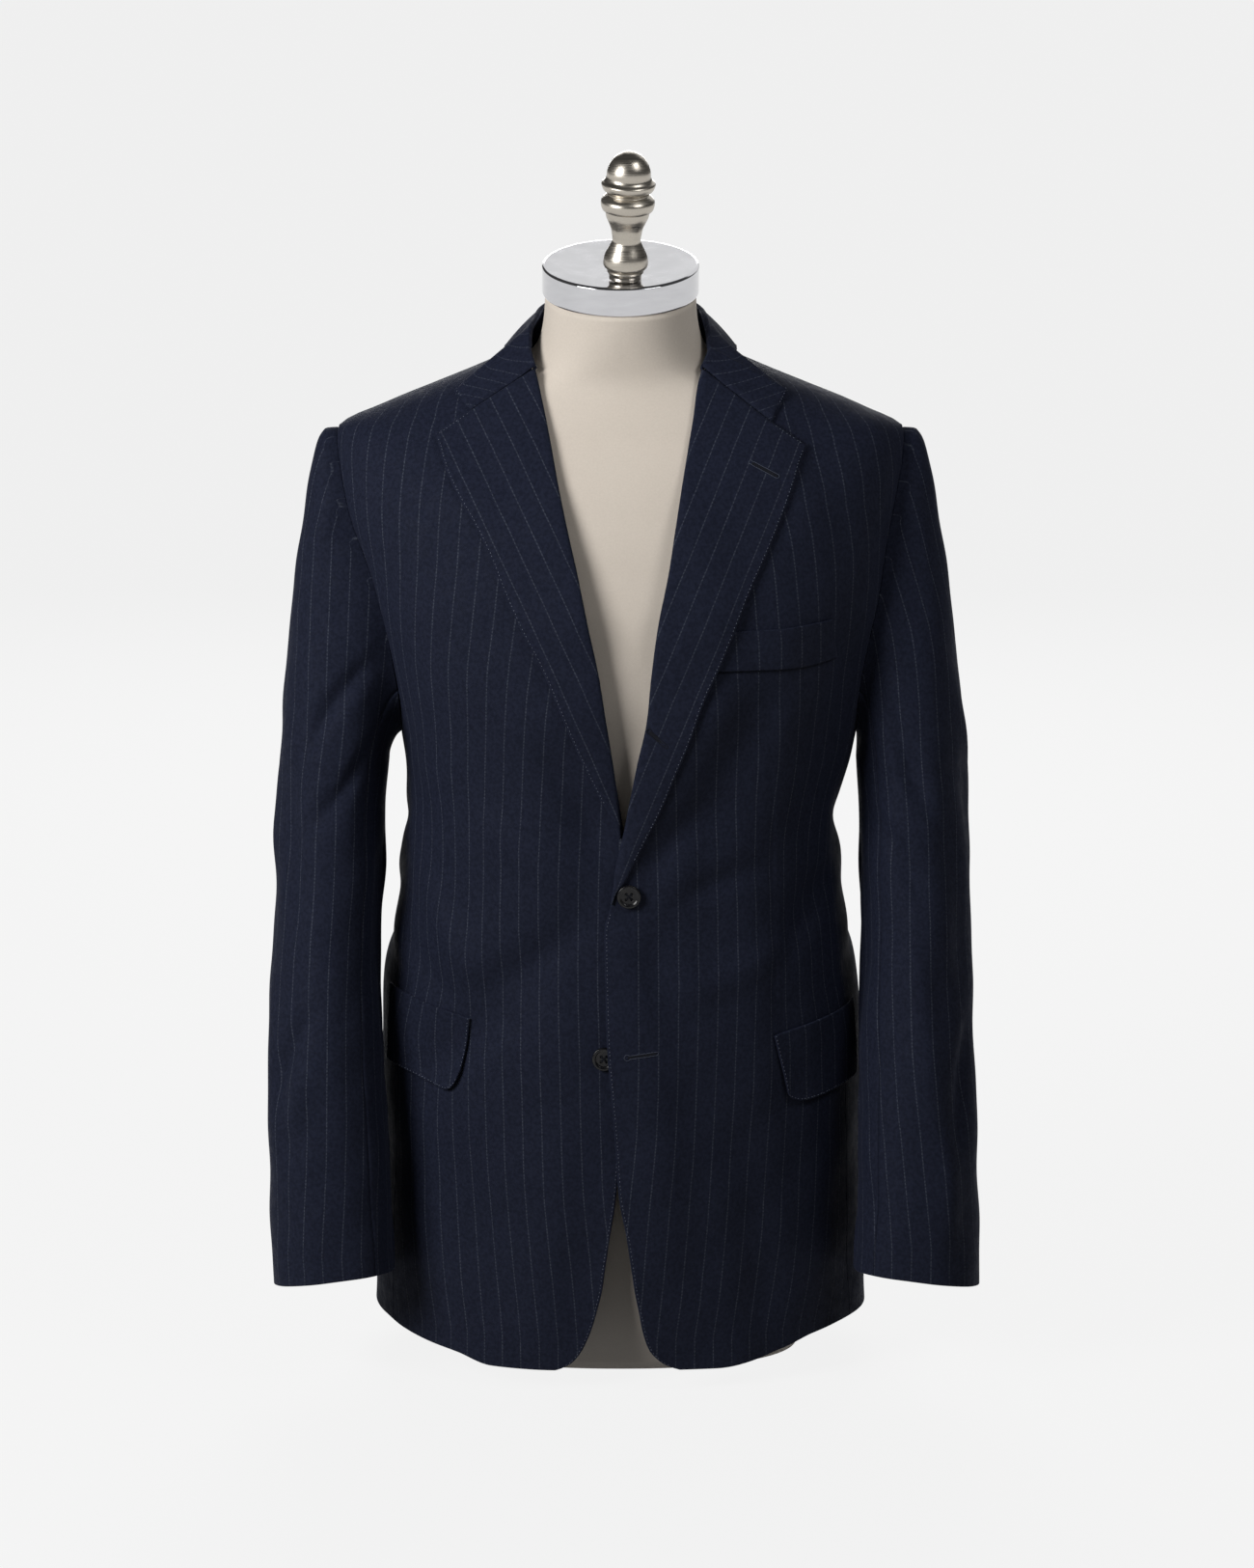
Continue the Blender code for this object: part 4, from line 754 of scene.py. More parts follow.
def shell(name, outer, inner, uv, looks):
    """A closed wall between two grids. The inner face takes the second look where there is one."""
    normals = grid_normals(outer)
    FACES[name] = outer, normals * np.sign((normals * (outer - inner)).sum())
    rows, columns = outer.shape[:2]
    far = rows * columns
    face = grid_faces(rows, columns)
    lining = grid_faces(rows, columns, far)[:, ::-1]
    row, column = np.arange(columns), np.arange(rows) * columns
    lines = (row, row + far - columns, column, column + columns - 1)
    borders = []
    for line, flip in zip(lines, (False, True, True, False)):
        quads = np.stack((line[1:], line[:-1], line[:-1] + far, line[1:] + far), axis=1)
        borders.append(quads[:, ::-1] if flip else quads)
    faces = np.concatenate([face, lining] + borders)
    slots = np.zeros(len(faces), np.int32)
    if len(looks) > 1:
        slots[len(face) : len(face) + len(lining)] = 1
    points = np.concatenate((outer.reshape(-1, 3), inner.reshape(-1, 3)))
    return mesh_object(name, points, faces, looks, np.concatenate((uv.reshape(-1, 2),) * 2), slots)


def catmull(points, count):
    """Points upsampled along the first axis by a smooth curve through them."""
    points = np.asarray(points, float)
    ends = np.concatenate((2 * points[:1] - points[1:2], points, 2 * points[-1:] - points[-2:-1]))
    at = np.linspace(0, len(points) - 1, count)
    index = np.minimum(at.astype(int), len(points) - 2)
    t = (at - index).reshape((-1,) + (1,) * (points.ndim - 1))
    before, start, end, after = (ends[index + i] for i in range(4))
    return hermite(start, (end - before) / 2, end, (after - start) / 2, t)


def grid_normals(grid, closed=False):
    along = np.gradient(grid, axis=0)
    across = (np.roll(grid, -1, 1) - np.roll(grid, 1, 1)) / 2 if closed else np.gradient(grid, axis=1)
    return unit(np.cross(along, across))


# Stripes

GIRTH_HEIGHTS = np.linspace(0.0, 0.78, 261)
GIRTH_ANGLES = np.linspace(0.0, 180.0, 361)


def girth_table(side):
    angles, heights = np.meshgrid(GIRTH_ANGLES, GIRTH_HEIGHTS)
    return walked(torso(side * angles, heights) * np.array((1.0, 1.0, 0.0)))


GIRTH = {side: girth_table(side) for side in (-1, 1)}


def girth(side, angle, z):
    """Way round the body from the centre front, level, in metres."""
    a = np.clip(np.abs(angle) / GIRTH_ANGLES[1], 0, len(GIRTH_ANGLES) - 1.001)
    h = np.clip(z / GIRTH_HEIGHTS[1], 0, len(GIRTH_HEIGHTS) - 1.001)
    i, j = h.astype(int), a.astype(int)
    table = GIRTH[side]
    low = mix(table[i, j], table[i, j + 1], a - j)
    high = mix(table[i + 1, j], table[i + 1, j + 1], a - j)
    return mix(low, high, h - i)


def front_stripes(side, angle, z):
    """Stripe count on the fronts and sides; whole numbers are stripes. They close up at the waist."""
    table = STRIPES_LEFT if side > 0 else STRIPES_RIGHT
    across = girth(side, angle, z)
    closer = (1.0 - fade(z, *WAIST_LOW)) * fade(z, *WAIST_HIGH)
    across = across + WAIST_CLOSING * closer * np.maximum(0.0, across - WAIST_CLOSING_START)
    return 3.0 + (across - smooth(table, 1, z)) / smooth(table, 2, z)


def back_stripes(side, angle, z):
    """Stripe count on the backs; the centre back seam lies half way between two stripes."""
    z = np.asarray(z, float)
    return 0.5 + (girth(side, 180.0 + 0 * z, z) - girth(side, angle, z)) / STRIPE_SPACING


def stripe_map(stripes, along):
    return np.stack(np.broadcast_arrays(stripes, along), axis=-1)


# Body panels

def panel(name, side, angles, heights, stripes, seams, looks, lifts=0.0):
    """A body panel from grids of angle and height. seams says which edges are sewn: first and
    last row, first and last column."""
    radii = [SEAM_ROUND if sewn else CLOTH / 2 for sewn in seams]
    flat, normals = on_torso(angles, heights, lifts)
    flat = trim(flat, *seams)
    dips = rounding(flat, radii)
    outer = flat - normals * dips[..., None]
    inner = flat - normals * (CLOTH - np.minimum(dips, CLOTH / 2))[..., None]
    return shell(name, outer, inner, stripe_map(stripes(side, angles, heights), heights), looks)


def build_front(side, name, looks):
    column = 1 if side > 0 else 2
    low, high = FRONT_EDGE[0][0], FRONT_EDGE[-1][0]
    share = shares(FRONT_GRID[0], high - low)
    z = low + (high - low) * (0.55 * share + 0.45 * share**1.6)
    start = angle_of_x(smooth(FRONT_EDGE, column, z), z)[:, None]
    end = side * outer_angle(z, "front")[:, None]
    angles = mix(start, end, shares(FRONT_GRID[1], FRONT_BREADTH)[None, :])
    heights = hem(angles, z[:, None])
    x = torso(angles, heights)[..., 0]
    lifts = front_lift(side, x, heights) - dart_dip(side, x, heights)
    return panel(name, side, angles, heights, front_stripes, (False, False, False, True), looks, lifts)


def dart_dip(side, x, z):
    """The groove of the front dart, from under the chest to the pocket."""
    line = side * mix(DART_X[0], DART_X[1], np.clip((z - DART_END[1]) / DART_REACH, 0, 1))
    return DART_DEPTH * bump(x - line, DART_BREADTH) * fade(z, *DART_HEAD) * (1.0 - fade(z, *DART_END))


def build_back(side, name, looks):
    low, high = FRONT_EDGE[0][0], FRONT_EDGE[-1][0]
    z = mix(low, high, shares(BACK_GRID[0], high - low))[:, None]
    start = outer_angle(z, "back")
    angles = mix(start, 180.0, shares(BACK_GRID[1], BACK_BREADTH)[None, :])
    share = (1.0 - np.cos(np.radians(2.0 * (angles - 90.0)))) / 2.0
    rise = BACK_NECK_RISE * share * (1.0 - fade(z, *BACK_NECK_HEIGHTS))
    heights = hem(side * angles, z) + rise
    return panel(name, side, side * angles, heights, back_stripes, (False, False, True, True), looks)


def build_side(side, name, looks):
    v = shares(SIDE_GRID[0], SIDE_LENGTH)[:, None]
    share = shares(SIDE_GRID[1], SIDE_BREADTH)[None, :]
    top_angle, top = armhole_floor(share)
    z = mix(FRONT_EDGE[0][0], top, v)
    level = mix(SIDE_LINES[-1][1], SIDE_LINES[-1][2], share)
    angles = mix(smooth(SIDE_LINES, 1, z), smooth(SIDE_LINES, 2, z), share)
    angles = angles + (top_angle - level) * fade(1.0 - v, 0.0, 0.45)
    heights = hem(side * angles, z)
    return panel(name, side, side * angles, heights, front_stripes, (False, True, True, True), looks)


# Sleeves

def sleeve_ring(side, z, share):
    """Points round the sleeve: share 0 outside, 0.25 front, 0.5 body side, 0.75 back."""
    first = 1 if side > 0 else 3
    outer, inner = smooth(SLEEVE_UP, first, z), smooth(SLEEVE_UP, first + 1, z)
    middle, depth = smooth(SLEEVE_UP, 5, z), smooth(SLEEVE_UP, 6, z)
    turn = 2 * math.pi * share
    x = (outer + inner) / 2 + (outer - inner) / 2 * signed_power(np.cos(turn), 2 / SLEEVE_POWER)
    y = middle - depth * signed_power(np.sin(turn), 2 / SLEEVE_POWER)
    low = fade(z, SLEEVE_UP[0][0], SLEEVE_UP[0][0] + CUFF_FADE)
    drop = CUFF_SIDE_TILT * (x - (outer + inner) / 2) + CUFF_FRONT_TILT * (y - middle)
    return np.stack(np.broadcast_arrays(side * x, y, z - drop * low), axis=-1)


def even_ring(side, count):
    """The armhole's line in even steps: points, normals and shares of the way round."""
    points = torso(side * RING_ANGLES, RING_HEIGHTS)
    points = points + shoulder_rise(points)
    normals = torso_normal(side * RING_ANGLES, RING_HEIGHTS)
    points, normals = (np.concatenate((rows, rows[:1])) for rows in (points, normals))
    way = walked(points)
    share = np.arange(count) / count
    at = share * way[-1]
    return interpolated(at, way, points), unit(interpolated(at, way, normals)), share


def sleeve_head(side, face, normals, share):
    """Rows of the sleeve's face from the armhole to the top of the tube, and the way inwards."""
    centre = torso(side * RING_ANGLES, RING_HEIGHTS).mean(axis=0)
    into = unit(np.cross(normals, np.roll(face, -1, 0) - np.roll(face, 1, 0)))
    into *= np.sign((into * (centre - face)).sum(axis=1))[:, None]
    starts = face + into * SEAM_HALF_GAP * 2
    away = unit((face - centre) * np.array((0, 1, 1)))
    top = ((1 + np.cos(2 * math.pi * share)) / 2)[:, None]
    leaves = unit(np.array((side, 0, 0)) + away * mix(*HEAD_SPREAD, top)) * mix(*HEAD_LEAVE, top)
    first = SLEEVE[0][0]
    end = sleeve_ring(side, np.full(len(share), first), share)
    arrive = -HEAD_ARRIVE * (starts[:, 2:] - first) * np.array((0, 0, 1))
    over = np.maximum(0.0, np.cos(2 * math.pi * share))
    rows = []
    for t in np.concatenate((HEAD_FIRST_ROWS, np.linspace(0.022, 0.985, int(SLEEVE_GRID[0] * DETAIL)))):
        rope = sum(height * bump(t - place, reach) for height, place, reach in HEAD_SWELLS)
        rope = rope * over * (1.0 - fade(t, 0.0, 0.075))
        rise = np.stack((side * rope, 0 * rope, 0.15 * rope), axis=1)
        rows.append(hermite(starts, leaves, end, arrive, t) + rise)
    return rows, into


def sleeve_face(side, count):
    """Rows of the sleeve's face from the armhole to the cuff, and the way inwards at the armhole."""
    face, normals, share = even_ring(side, count)
    rows, into = sleeve_head(side, face, normals, share)
    first, last = SLEEVE[0][0], SLEEVE[-1][0]
    down = np.linspace(0.0, first - last - 0.003, int(SLEEVE_GRID[1] * DETAIL))
    for drop in np.concatenate((down, first - last - EDGE_STEPS[::-1] * EDGE_RADIUS)):
        rows.append(sleeve_ring(side, np.full(count, first - drop), share))
    return np.array(rows), unit(into - normals), share


def sleeve_slices(flat):
    """Level slices through the sleeve: heights, points of every column, way from the outer line."""
    levels = np.linspace(flat[..., 2].min(), flat[..., 2].max(), 300)
    columns = flat.shape[1]
    points = np.empty((columns, len(levels), 2))
    for column in range(columns):
        heights = np.maximum.accumulate(flat[::-1, column, 2])
        for axis in (0, 1):
            points[column, :, axis] = np.interp(levels, heights, flat[::-1, column, axis])
    steps = length_of(np.roll(points, -1, 0) - points)
    half = columns // 2
    way = np.zeros(steps.shape)
    way[1 : half + 1] = np.cumsum(steps[:half], axis=0)
    way[half + 1 :] = -np.cumsum(steps[: half : -1], axis=0)[::-1]
    return levels, points, way


def sleeve_stripes(side, grid):
    """Stripe distance over the sleeve: level way round it from one stripe on its front."""
    table = SLEEVE_STRIPE_LEFT if side > 0 else SLEEVE_STRIPE_RIGHT
    flat = grid * np.array((side, 1.0, 1.0))
    levels, points, way = sleeve_slices(flat)
    starts = []
    for i, z in enumerate(levels):
        off = points[: len(points) // 2, i, 0] - smooth(table, 1, z)
        crossed = np.nonzero((off[:-1] > 0) & (off[1:] <= 0))[0]
        if len(crossed) and table[0][0] <= z <= table[-1][0]:
            c = crossed[0]
            starts.append((z, mix(way[c, i], way[c + 1, i], off[c] / (off[c] - off[c + 1]))))
    heights, found = np.array(starts).T
    result = np.empty(grid.shape[:2])
    for column in range(grid.shape[1]):
        z = flat[:, column, 2]
        result[:, column] = np.interp(z, levels, way[column]) - np.interp(z, heights, found)
    return result


def build_sleeve(side, names, looks):
    count = SLEEVE_GRID[2]
    grid, inwards, share = sleeve_face(side, count)
    normals = grid_normals(grid, closed=True)
    normals *= np.sign((normals * (grid - grid.mean(axis=1, keepdims=True))).sum(axis=-1))[..., None]
    stripes = sleeve_stripes(side, grid) / STRIPE_SPACING
    creased = grid + normals * sleeve_relief(side, grid, share)[..., None]
    bare = np.clip(down_columns(creased) / HEAD_BARE, 0.0, 1.0)[..., None]
    into = unit(inwards * (1.0 - bare) - normals * bare)
    front, back = round(UNDER_SLEEVE[0] * count), round(UNDER_SLEEVE[1] * count)
    top = np.arange(back, count + front + 1) % count
    under = np.arange(front, back + 1)
    made = []
    for name, columns in zip(names, (top, under)):
        face = trim(creased[:, columns].copy(), False, False, True, True)
        dips = rounding(face, (SEAM_ROUND, CLOTH / 2, SEAM_ROUND, SEAM_ROUND))[..., None]
        outer = face + into[:, columns] * dips
        inner = face + into[:, columns] * (CLOTH - np.minimum(dips, CLOTH / 2))
        uv = stripe_map(stripes[:, columns], grid[:, columns, 2])
        made.append(shell(name, outer, inner, uv, looks))
    return made


def sleeve_relief(side, grid, share):
    creases = SLEEVE_CREASES_LEFT if side > 0 else SLEEVE_CREASES_RIGHT
    way = np.broadcast_to((((share + 0.5) % 1.0) - 0.5) * SLEEVE_GIRTH, grid.shape[:2])
    total = crease_lift(way, grid[..., 2], creases) + waves(way * 1.4, grid[..., 2] * 1.2)
    return SLEEVE_RELIEF * total * (1.0 - fade(down_columns(grid), *SLEEVE_CALM))


# Lapels, collar, flaps and welt

def gorge_z(side, x):
    """Height of the gorge seam and of the lapel's upper edge."""
    table = LAPEL_LEFT if side > 0 else LAPEL_RIGHT
    notch = NOTCH_LEFT if side > 0 else NOTCH_RIGHT
    roll_x, roll_z, corner_x, corner_z = table[-1]
    seam = mix(roll_z, notch[1], (x - roll_x) / (notch[0] - roll_x))
    edge = mix(notch[1], corner_z, (x - notch[0]) / (corner_x - notch[0]))
    return np.where(np.abs(x) < abs(notch[0]), seam, edge)


def welt_room(side, x, z):
    """The left lapel stands off the breast welt's end."""
    return WELT_ROOM * bump(np.hypot(x - WELT_END[0], z - WELT_END[1]), WELT_REACH) * (side > 0)


def lapel_spine(side, count):
    """Roll line and edge from the foot of the lapel to its upper edge."""
    table = np.array(LAPEL_LEFT if side > 0 else LAPEL_RIGHT)
    z = table[:, 1]
    table[:, 0] += side * ROLL_SHIFT * fade(z, 0.50, 0.60) * (1.0 - fade(z, 0.395, 0.415))
    return catmull(table, count)


def lapel_profile(width, count):
    """Across one row: shares of the width and heights, of the face and of the under side."""
    small = min(1.0, width / 0.012)
    start = min(0.3, 0.0025 / width)
    face = [(near * small / width, up) for near, up, _, _ in LAPEL_FOLD]
    under = [(near / width, up) for _, _, near, up in LAPEL_FOLD]
    face += [(mix(start, 1.0, share), up) for share, up, _ in LAPEL_SPREAD]
    under += [(mix(start, 1.0, share), up) for share, _, up in LAPEL_SPREAD]
    fold = catmull(np.array(face[:4]), 14), catmull(np.array(under[:4]), 14)
    spread = [catmull(np.array(rows[3:]), count)[1:] for rows in (face, under)]
    return np.concatenate((fold[0], spread[0])), np.concatenate((fold[1], spread[1]))


def lapel_grid(side, rows, columns):
    """Places (share across, x, z, height over the front) of the lapel's face and under side."""
    spine = lapel_spine(side, rows)
    grids = ([], [])
    for i, (roll_x, roll_z, edge_x, edge_z) in enumerate(spine):
        width = math.hypot(edge_x - roll_x, edge_z - roll_z)
        top = fade(rows - 1 - i, 0, rows * 0.10)
        for grid, places in zip(grids, lapel_profile(width, columns)):
            share, up = places.T
            x = mix(roll_x, edge_x, share)
            level = mix(roll_z, edge_z, share)
            z = mix(level, gorge_z(side, x) - (spine[-1][1] - roll_z), top)
            low = 1.0 - 0.45 * fade(z, 0.372, 0.392) * (side > 0)
            lift = up * low + welt_room(side, x, z) * np.clip(share * 3, 0.0, 1.0)
            grid.append(np.stack((share, x, z, lift), axis=1))
    return np.array(grids[0]), np.array(grids[1])


def lapel_stripes(side, x, z):
    """Stripe count square to the lapel's outer edge."""
    edge = lapel_spine(side, 90)[:, 2:]
    edge = edge[edge[:, 1] > 0.46]
    slope = np.polyfit(edge[:, 1], edge[:, 0], 2)
    off = (np.polyval(slope, z) - x) * side
    tilt = np.polyval(np.polyder(slope), z)
    return 0.45 + off / np.sqrt(1 + tilt**2) / LAPEL_STRIPE_SPACING


def build_lapel(side, name, looks):
    face, under = lapel_grid(side, *(int(count * DETAIL) for count in LAPEL_GRID))
    (flat, normals), (back, _) = (on_front(side, *np.moveaxis(grid, -1, 0)[1:]) for grid in (face, under))
    for grid in (flat, back):
        grid[-1] += unit(grid[-2] - grid[-1]) * SEAM_HALF_GAP
    dips = rounding(flat, (0.0, LAPEL_CLOTH / 2, 0.0, LAPEL_CLOTH / 2))[..., None]
    uv = stripe_map(lapel_stripes(side, face[..., 1], face[..., 2]), face[..., 2])
    return shell(name, flat - normals * dips, back + normals * dips, uv, looks)


def collar_row(row):
    """A row of a collar table with angles in place of x, and its fold on this side."""
    seam, seam_z, fold_x, fold_y, fold_z, edge, edge_z, stand = row
    if abs(seam) < 1.0:
        seam, edge = (abs(float(angle_of_x(x, z))) for x, z in ((seam, seam_z), (edge, edge_z)))
    return np.array((seam, seam_z, abs(fold_x), fold_y, fold_z, edge, edge_z, stand))


def seam_ways(side, angle, z, stand):
    """The point of the neck seam, the way out of the panel there and the panel's normal."""
    spot = torso(side * angle, z)
    upward = unit(torso(side * angle, z + 0.001) - spot)
    inward = unit(torso(side * (angle - 2.0), z) - spot)
    if stand == 0.0:
        x = spot[0] - side * 0.004
        inward = unit(torso(angle_of_x(x, gorge_z(side, x)), gorge_z(side, x)) - spot)
    return spot, unit(mix(inward, upward, min(1.0, stand * 1.4))), torso_normal(side * angle, z)


def collar_section(side, row):
    """Face and under side of the collar across one station, from the neck seam to the edge."""
    seam_angle, seam_z, fold_x, fold_y, fold_z, edge_angle, edge_z, stand = row
    seam, leave, normal = seam_ways(side, seam_angle, seam_z, stand)
    fold = np.array((side * fold_x, fold_y, fold_z))
    upward = unit(mix(leave, np.array((0, 0, 1.0)), stand))
    if stand == 0.0:
        fold = seam + leave * (0.0012 + FOLD_RADIUS) + normal * 0.0012
    outward = unit(normal - upward * np.dot(normal, upward))
    centre = fold - upward * FOLD_RADIUS
    foot = seam + leave * 0.0005
    edge_normal = torso_normal(side * edge_angle, edge_z)
    over = UNDER_COLLAR + SHOULDER_ROOM * bump(edge_angle - 88.0, 22.0)
    end = torso(side * edge_angle, edge_z) + edge_normal * over
    face, under = [foot - normal * CLOTH], [foot]
    for line, radius, last in ((face, FOLD_RADIUS, LAPEL_CLOTH), (under, FOLD_RADIUS - 0.0020, 0.0)):
        for turn in (180, 135, 90, 45, 0):
            way = outward * math.cos(math.radians(turn)) + upward * math.sin(math.radians(turn))
            line.append(centre + way * radius)
        for share in (0.25, 0.5, 0.75, 1.0):
            swell = edge_normal * 0.0010 * math.sin(math.pi * share) * stand
            line.append(mix(centre + outward * radius, end + edge_normal * last, share) + swell)
    return np.array(face), np.array(under)


def collar_half(side):
    """Stations from the gorge to the centre back."""
    front = COLLAR_LEFT if side > 0 else COLLAR_RIGHT
    rows = [collar_row(row) for row in front + COLLAR_BACK]
    last = len(rows) - 1
    found = [rows[0]]
    for i in range(1, last):
        found.append(rows[i])
        before = rows[max(1, i - 1)]
        after = rows[i + 2] if i + 2 <= last else mirrored(rows[last - 1])
        for t in (1 / 3, 2 / 3):
            leave, arrive = (rows[i + 1] - before) / 2, (after - rows[i]) / 2
            found.append(hermite(rows[i], leave, rows[i + 1], arrive, t))
    return found + [rows[last]]


def mirrored(row):
    """The row past the centre back as this side counts it."""
    seam, seam_z, fold_x, fold_y, fold_z, edge, edge_z, stand = row
    return np.array((360.0 - seam, seam_z, -fold_x, fold_y, fold_z, 360.0 - edge, edge_z, stand))


def gorge_end(side, face, under):
    """The collar's end lies along the gorge seam."""
    table = COLLAR_LEFT if side > 0 else COLLAR_RIGHT
    for i in range(4):
        share = (i + 1) / 4
        x = mix(table[0][0], table[0][5], share)
        z = float(gorge_z(side, x)) + GORGE_GAP * 0.5
        angle = angle_of_x(x, z)
        spot, normal = torso(angle, z), torso_normal(angle, z)
        face[i - 4] = spot + normal * mix(LAPEL_FACE, UNDER_COLLAR + LAPEL_CLOTH, share)
        under[i - 4] = spot + normal * mix(0.0014, UNDER_COLLAR, share)


def build_collar(name, looks):
    sections = []
    for side in (1, -1):
        half = [collar_section(side, row) for row in collar_half(side)]
        gorge_end(side, *half[0])
        sections += half if side > 0 else half[:-1][::-1]
    rows, columns = (int(count * DETAIL) for count in COLLAR_GRID)
    fine = [catmull(np.array(grid), rows).transpose(1, 0, 2) for grid in zip(*sections)]
    face, under = (catmull(grid, columns).transpose(1, 0, 2) for grid in fine)
    normals = unit(face - under)
    dips = rounding(face, (SEAM_ROUND, SEAM_ROUND, 0.0, LAPEL_CLOTH / 2))[..., None]
    dips = dips * (np.linspace(0, 1, face.shape[1]) > 0.5)[None, :, None]
    along = down_columns(face)
    uv = stripe_map((along - along[len(along) // 2]) / STRIPE_SPACING + 0.5, walked(face))
    return shell(name, face - normals * dips, under + normals * dips, uv, looks)


def build_laid(name, side, table, gap, thickness, looks, curl=0.0):
    """A piece that lies on the front, between the upper and the lower line of a table."""
    lines = catmull(np.array(table), LAID_GRID[1])
    down = shares(LAID_GRID[0], LAID_DEPTH)[:, None]
    x, z = (mix(lines[:, i], lines[:, i + 2], down) for i in (0, 1))
    gap = gap + curl * np.linspace(0, 1, len(x))[:, None] ** 2
    face, normals = on_front(side, x, z, gap + thickness)
    under, _ = on_front(side, x, z, gap)
    dips = rounding(face, (thickness * 0.45,) + (thickness / 2,) * 3)[..., None]
    uv = stripe_map(front_stripes(side, angle_of_x(x, z), z), z)
    return shell(name, face - normals * dips, under + normals * dips, uv, looks)


# Sewing and buttons

STITCH_INSET = 0.0022
STITCH_PITCH = 0.0030
STITCH_SIZE = (0.00060, 0.00026, 0.00018)
STITCH_AHEAD = 0.0004
STITCH_LIFT = 0.00006
STITCHED_WIDTH = 0.012
# lowest stitch of the front edges, highest of the left one and of the right one
STITCHED_HEIGHTS = (0.019, 0.365, 0.215)
CORD_RADIUS = 0.00026
HOLE_HALF_WIDTH = 0.0013
THREAD_RADIUS = 0.00028
THREAD_SHIFT = 0.00022
THREAD_CROSSING = 0.0002
LAPEL_FACE = 0.0036
# both ends (x, z) of the buttonholes
LAPEL_HOLE = ((0.0924, 0.6870), (0.1125, 0.6766))
ROLL_HOLE = ((0.0193, 0.5021), (0.0325, 0.4903))
LOWER_HOLE = ((0.0029, 0.2568), (0.0262, 0.2595))


def inset_line(points, normals, distance, last=True):
    """The line across a grid's rows that lies this far from its last (or first) column."""
    order = slice(None, None, -1 if last else 1)
    way = walked(points)
    way = way[:, -1:] - way if last else way
    found = [[interpolated(distance, off[order], line[order]) for off, line in zip(way, grid)]
             for grid in (points, normals)]
    return np.array(found[0]), unit(np.array(found[1]))


def stitch_solid(sides=6, rings=4):
    """Points (ahead, aside, up) and triangles of one stitch, a small long bead."""
    points = [(-1, 0, 0)]
    for level in np.linspace(-1, 1, rings + 2)[1:-1] * 0.94:
        radius = math.sqrt(1 - level**2)
        for turn in np.arange(sides) / sides * 2 * math.pi:
            points.append((level, radius * math.cos(turn), radius * math.sin(turn)))
    points.append((1, 0, 0))
    faces = [(0, 1 + (i + 1) % sides, 1 + i) for i in range(sides)]
    for first in range(1, 1 + (rings - 1) * sides, sides):
        for i in range(sides):
            a, b = first + i, first + (i + 1) % sides
            faces += [(a, b, b + sides), (a, b + sides, a + sides)]
    last = 1 + (rings - 1) * sides
    faces += [(len(points) - 1, last + i, last + (i + 1) % sides) for i in range(sides)]
    return np.array(points) * np.array(STITCH_SIZE), np.array(faces)


def stitch_shapes(path, facing):
    """Points and triangles of a row of small raised stitches along a path."""
    template, solid = stitch_solid()
    way = walked(path)
    index = np.arange(int(way[-1] / STITCH_PITCH))
    at = (index + 0.5) * STITCH_PITCH
    at = at + STITCH_PITCH * 0.10 * np.sin(index * 2.4)
    spot = interpolated(at, way, path)
    up = unit(interpolated(at, way, facing))
    along = unit(interpolated(at + STITCH_AHEAD, way, path) - spot)
    aside = unit(np.cross(up, along))
    points = spot[:, None] + sum(
        template[None, :, i : i + 1] * way_out[:, None] for i, way_out in enumerate((along, aside, up))
    )
    faces = solid[None] + (index * len(template))[:, None, None]
    return points.reshape(-1, 3), faces.reshape(-1, 3)


def joined(shapes):
    """Several (points, triangles) as one."""
    points, faces, base = [], [], 0
    for some, corners in shapes:
        points.append(some)
        faces.append(corners + base)
        base += len(some)
    return np.concatenate(points), np.concatenate(faces)


def tube_shape(path, up, radius, sides=8, closed=True):
    """Points and triangles of a thin cord along a path on a surface."""
    along = unit(np.roll(path, -1, 0) - np.roll(path, 1, 0) if closed else np.gradient(path, axis=0))
    aside = unit(np.cross(up, along))
    rings = path[:, None] + radius * circle(aside[:, None], np.cross(along, aside)[:, None], sides)
    if closed:
        rings = np.concatenate((rings, rings[:1]))
    return rings.reshape(-1, 3), triangles(grid_faces(len(rings), sides, 0, True))


def lapel_place(x, z, lift):
    """Points and normals on the face of the left lapel."""
    return on_front(1, x, z, LAPEL_FACE + welt_room(1, x, z) + lift)


def front_place(x, z, lift):
    return on_front(1, x, z, lift)


def buttonhole(start, end, half_width, eye, place):
    """The worked edge of a buttonhole, a long loop of thread with a round eye at its start, and
    the grid of its slit, a dark sheet on which the shade inside the cut is painted."""
    reach = math.hypot(end[0] - start[0], end[1] - start[1])
    du, dv = (end[0] - start[0]) / reach, (end[1] - start[1]) / reach
    outline = [(t, half_width) for t in np.linspace(0.16, 1.0, 24) * reach]
    for a in np.linspace(0.3, 2.84, 7):
        outline.append((reach + half_width * math.sin(a), half_width * math.cos(a)))
    outline += [(t, -half_width) for t in np.linspace(1.0, 0.16, 24) * reach]
    outline += [(eye * 0.9 - eye * math.cos(a), -eye * math.sin(a)) for a in np.linspace(2.3, -2.3, 14)]
    ahead, aside = np.array(outline).T
    x, z = start[0] + ahead * du - aside * dv, start[1] + ahead * dv + aside * du
    path, up = place(x, z, CORD_RADIUS / 2)
    share = np.linspace(0.10, 1.0, 20)
    width = half_width * 0.9 * np.sin(math.pi * np.clip(share * 0.98, 0.02, 0.98)) ** 0.3
    slit = []
    for sign, lift in ((1, 0.00012), (0.33, 0.00020), (-0.33, 0.00020), (-1, 0.00012)):
        x, z = mix(start[0], end[0], share), mix(start[1], end[1], share)
        slit.append(place(x - sign * width * dv, z + sign * width * du, lift)[0])
    return tube_shape(path, up, CORD_RADIUS), np.array(slit)


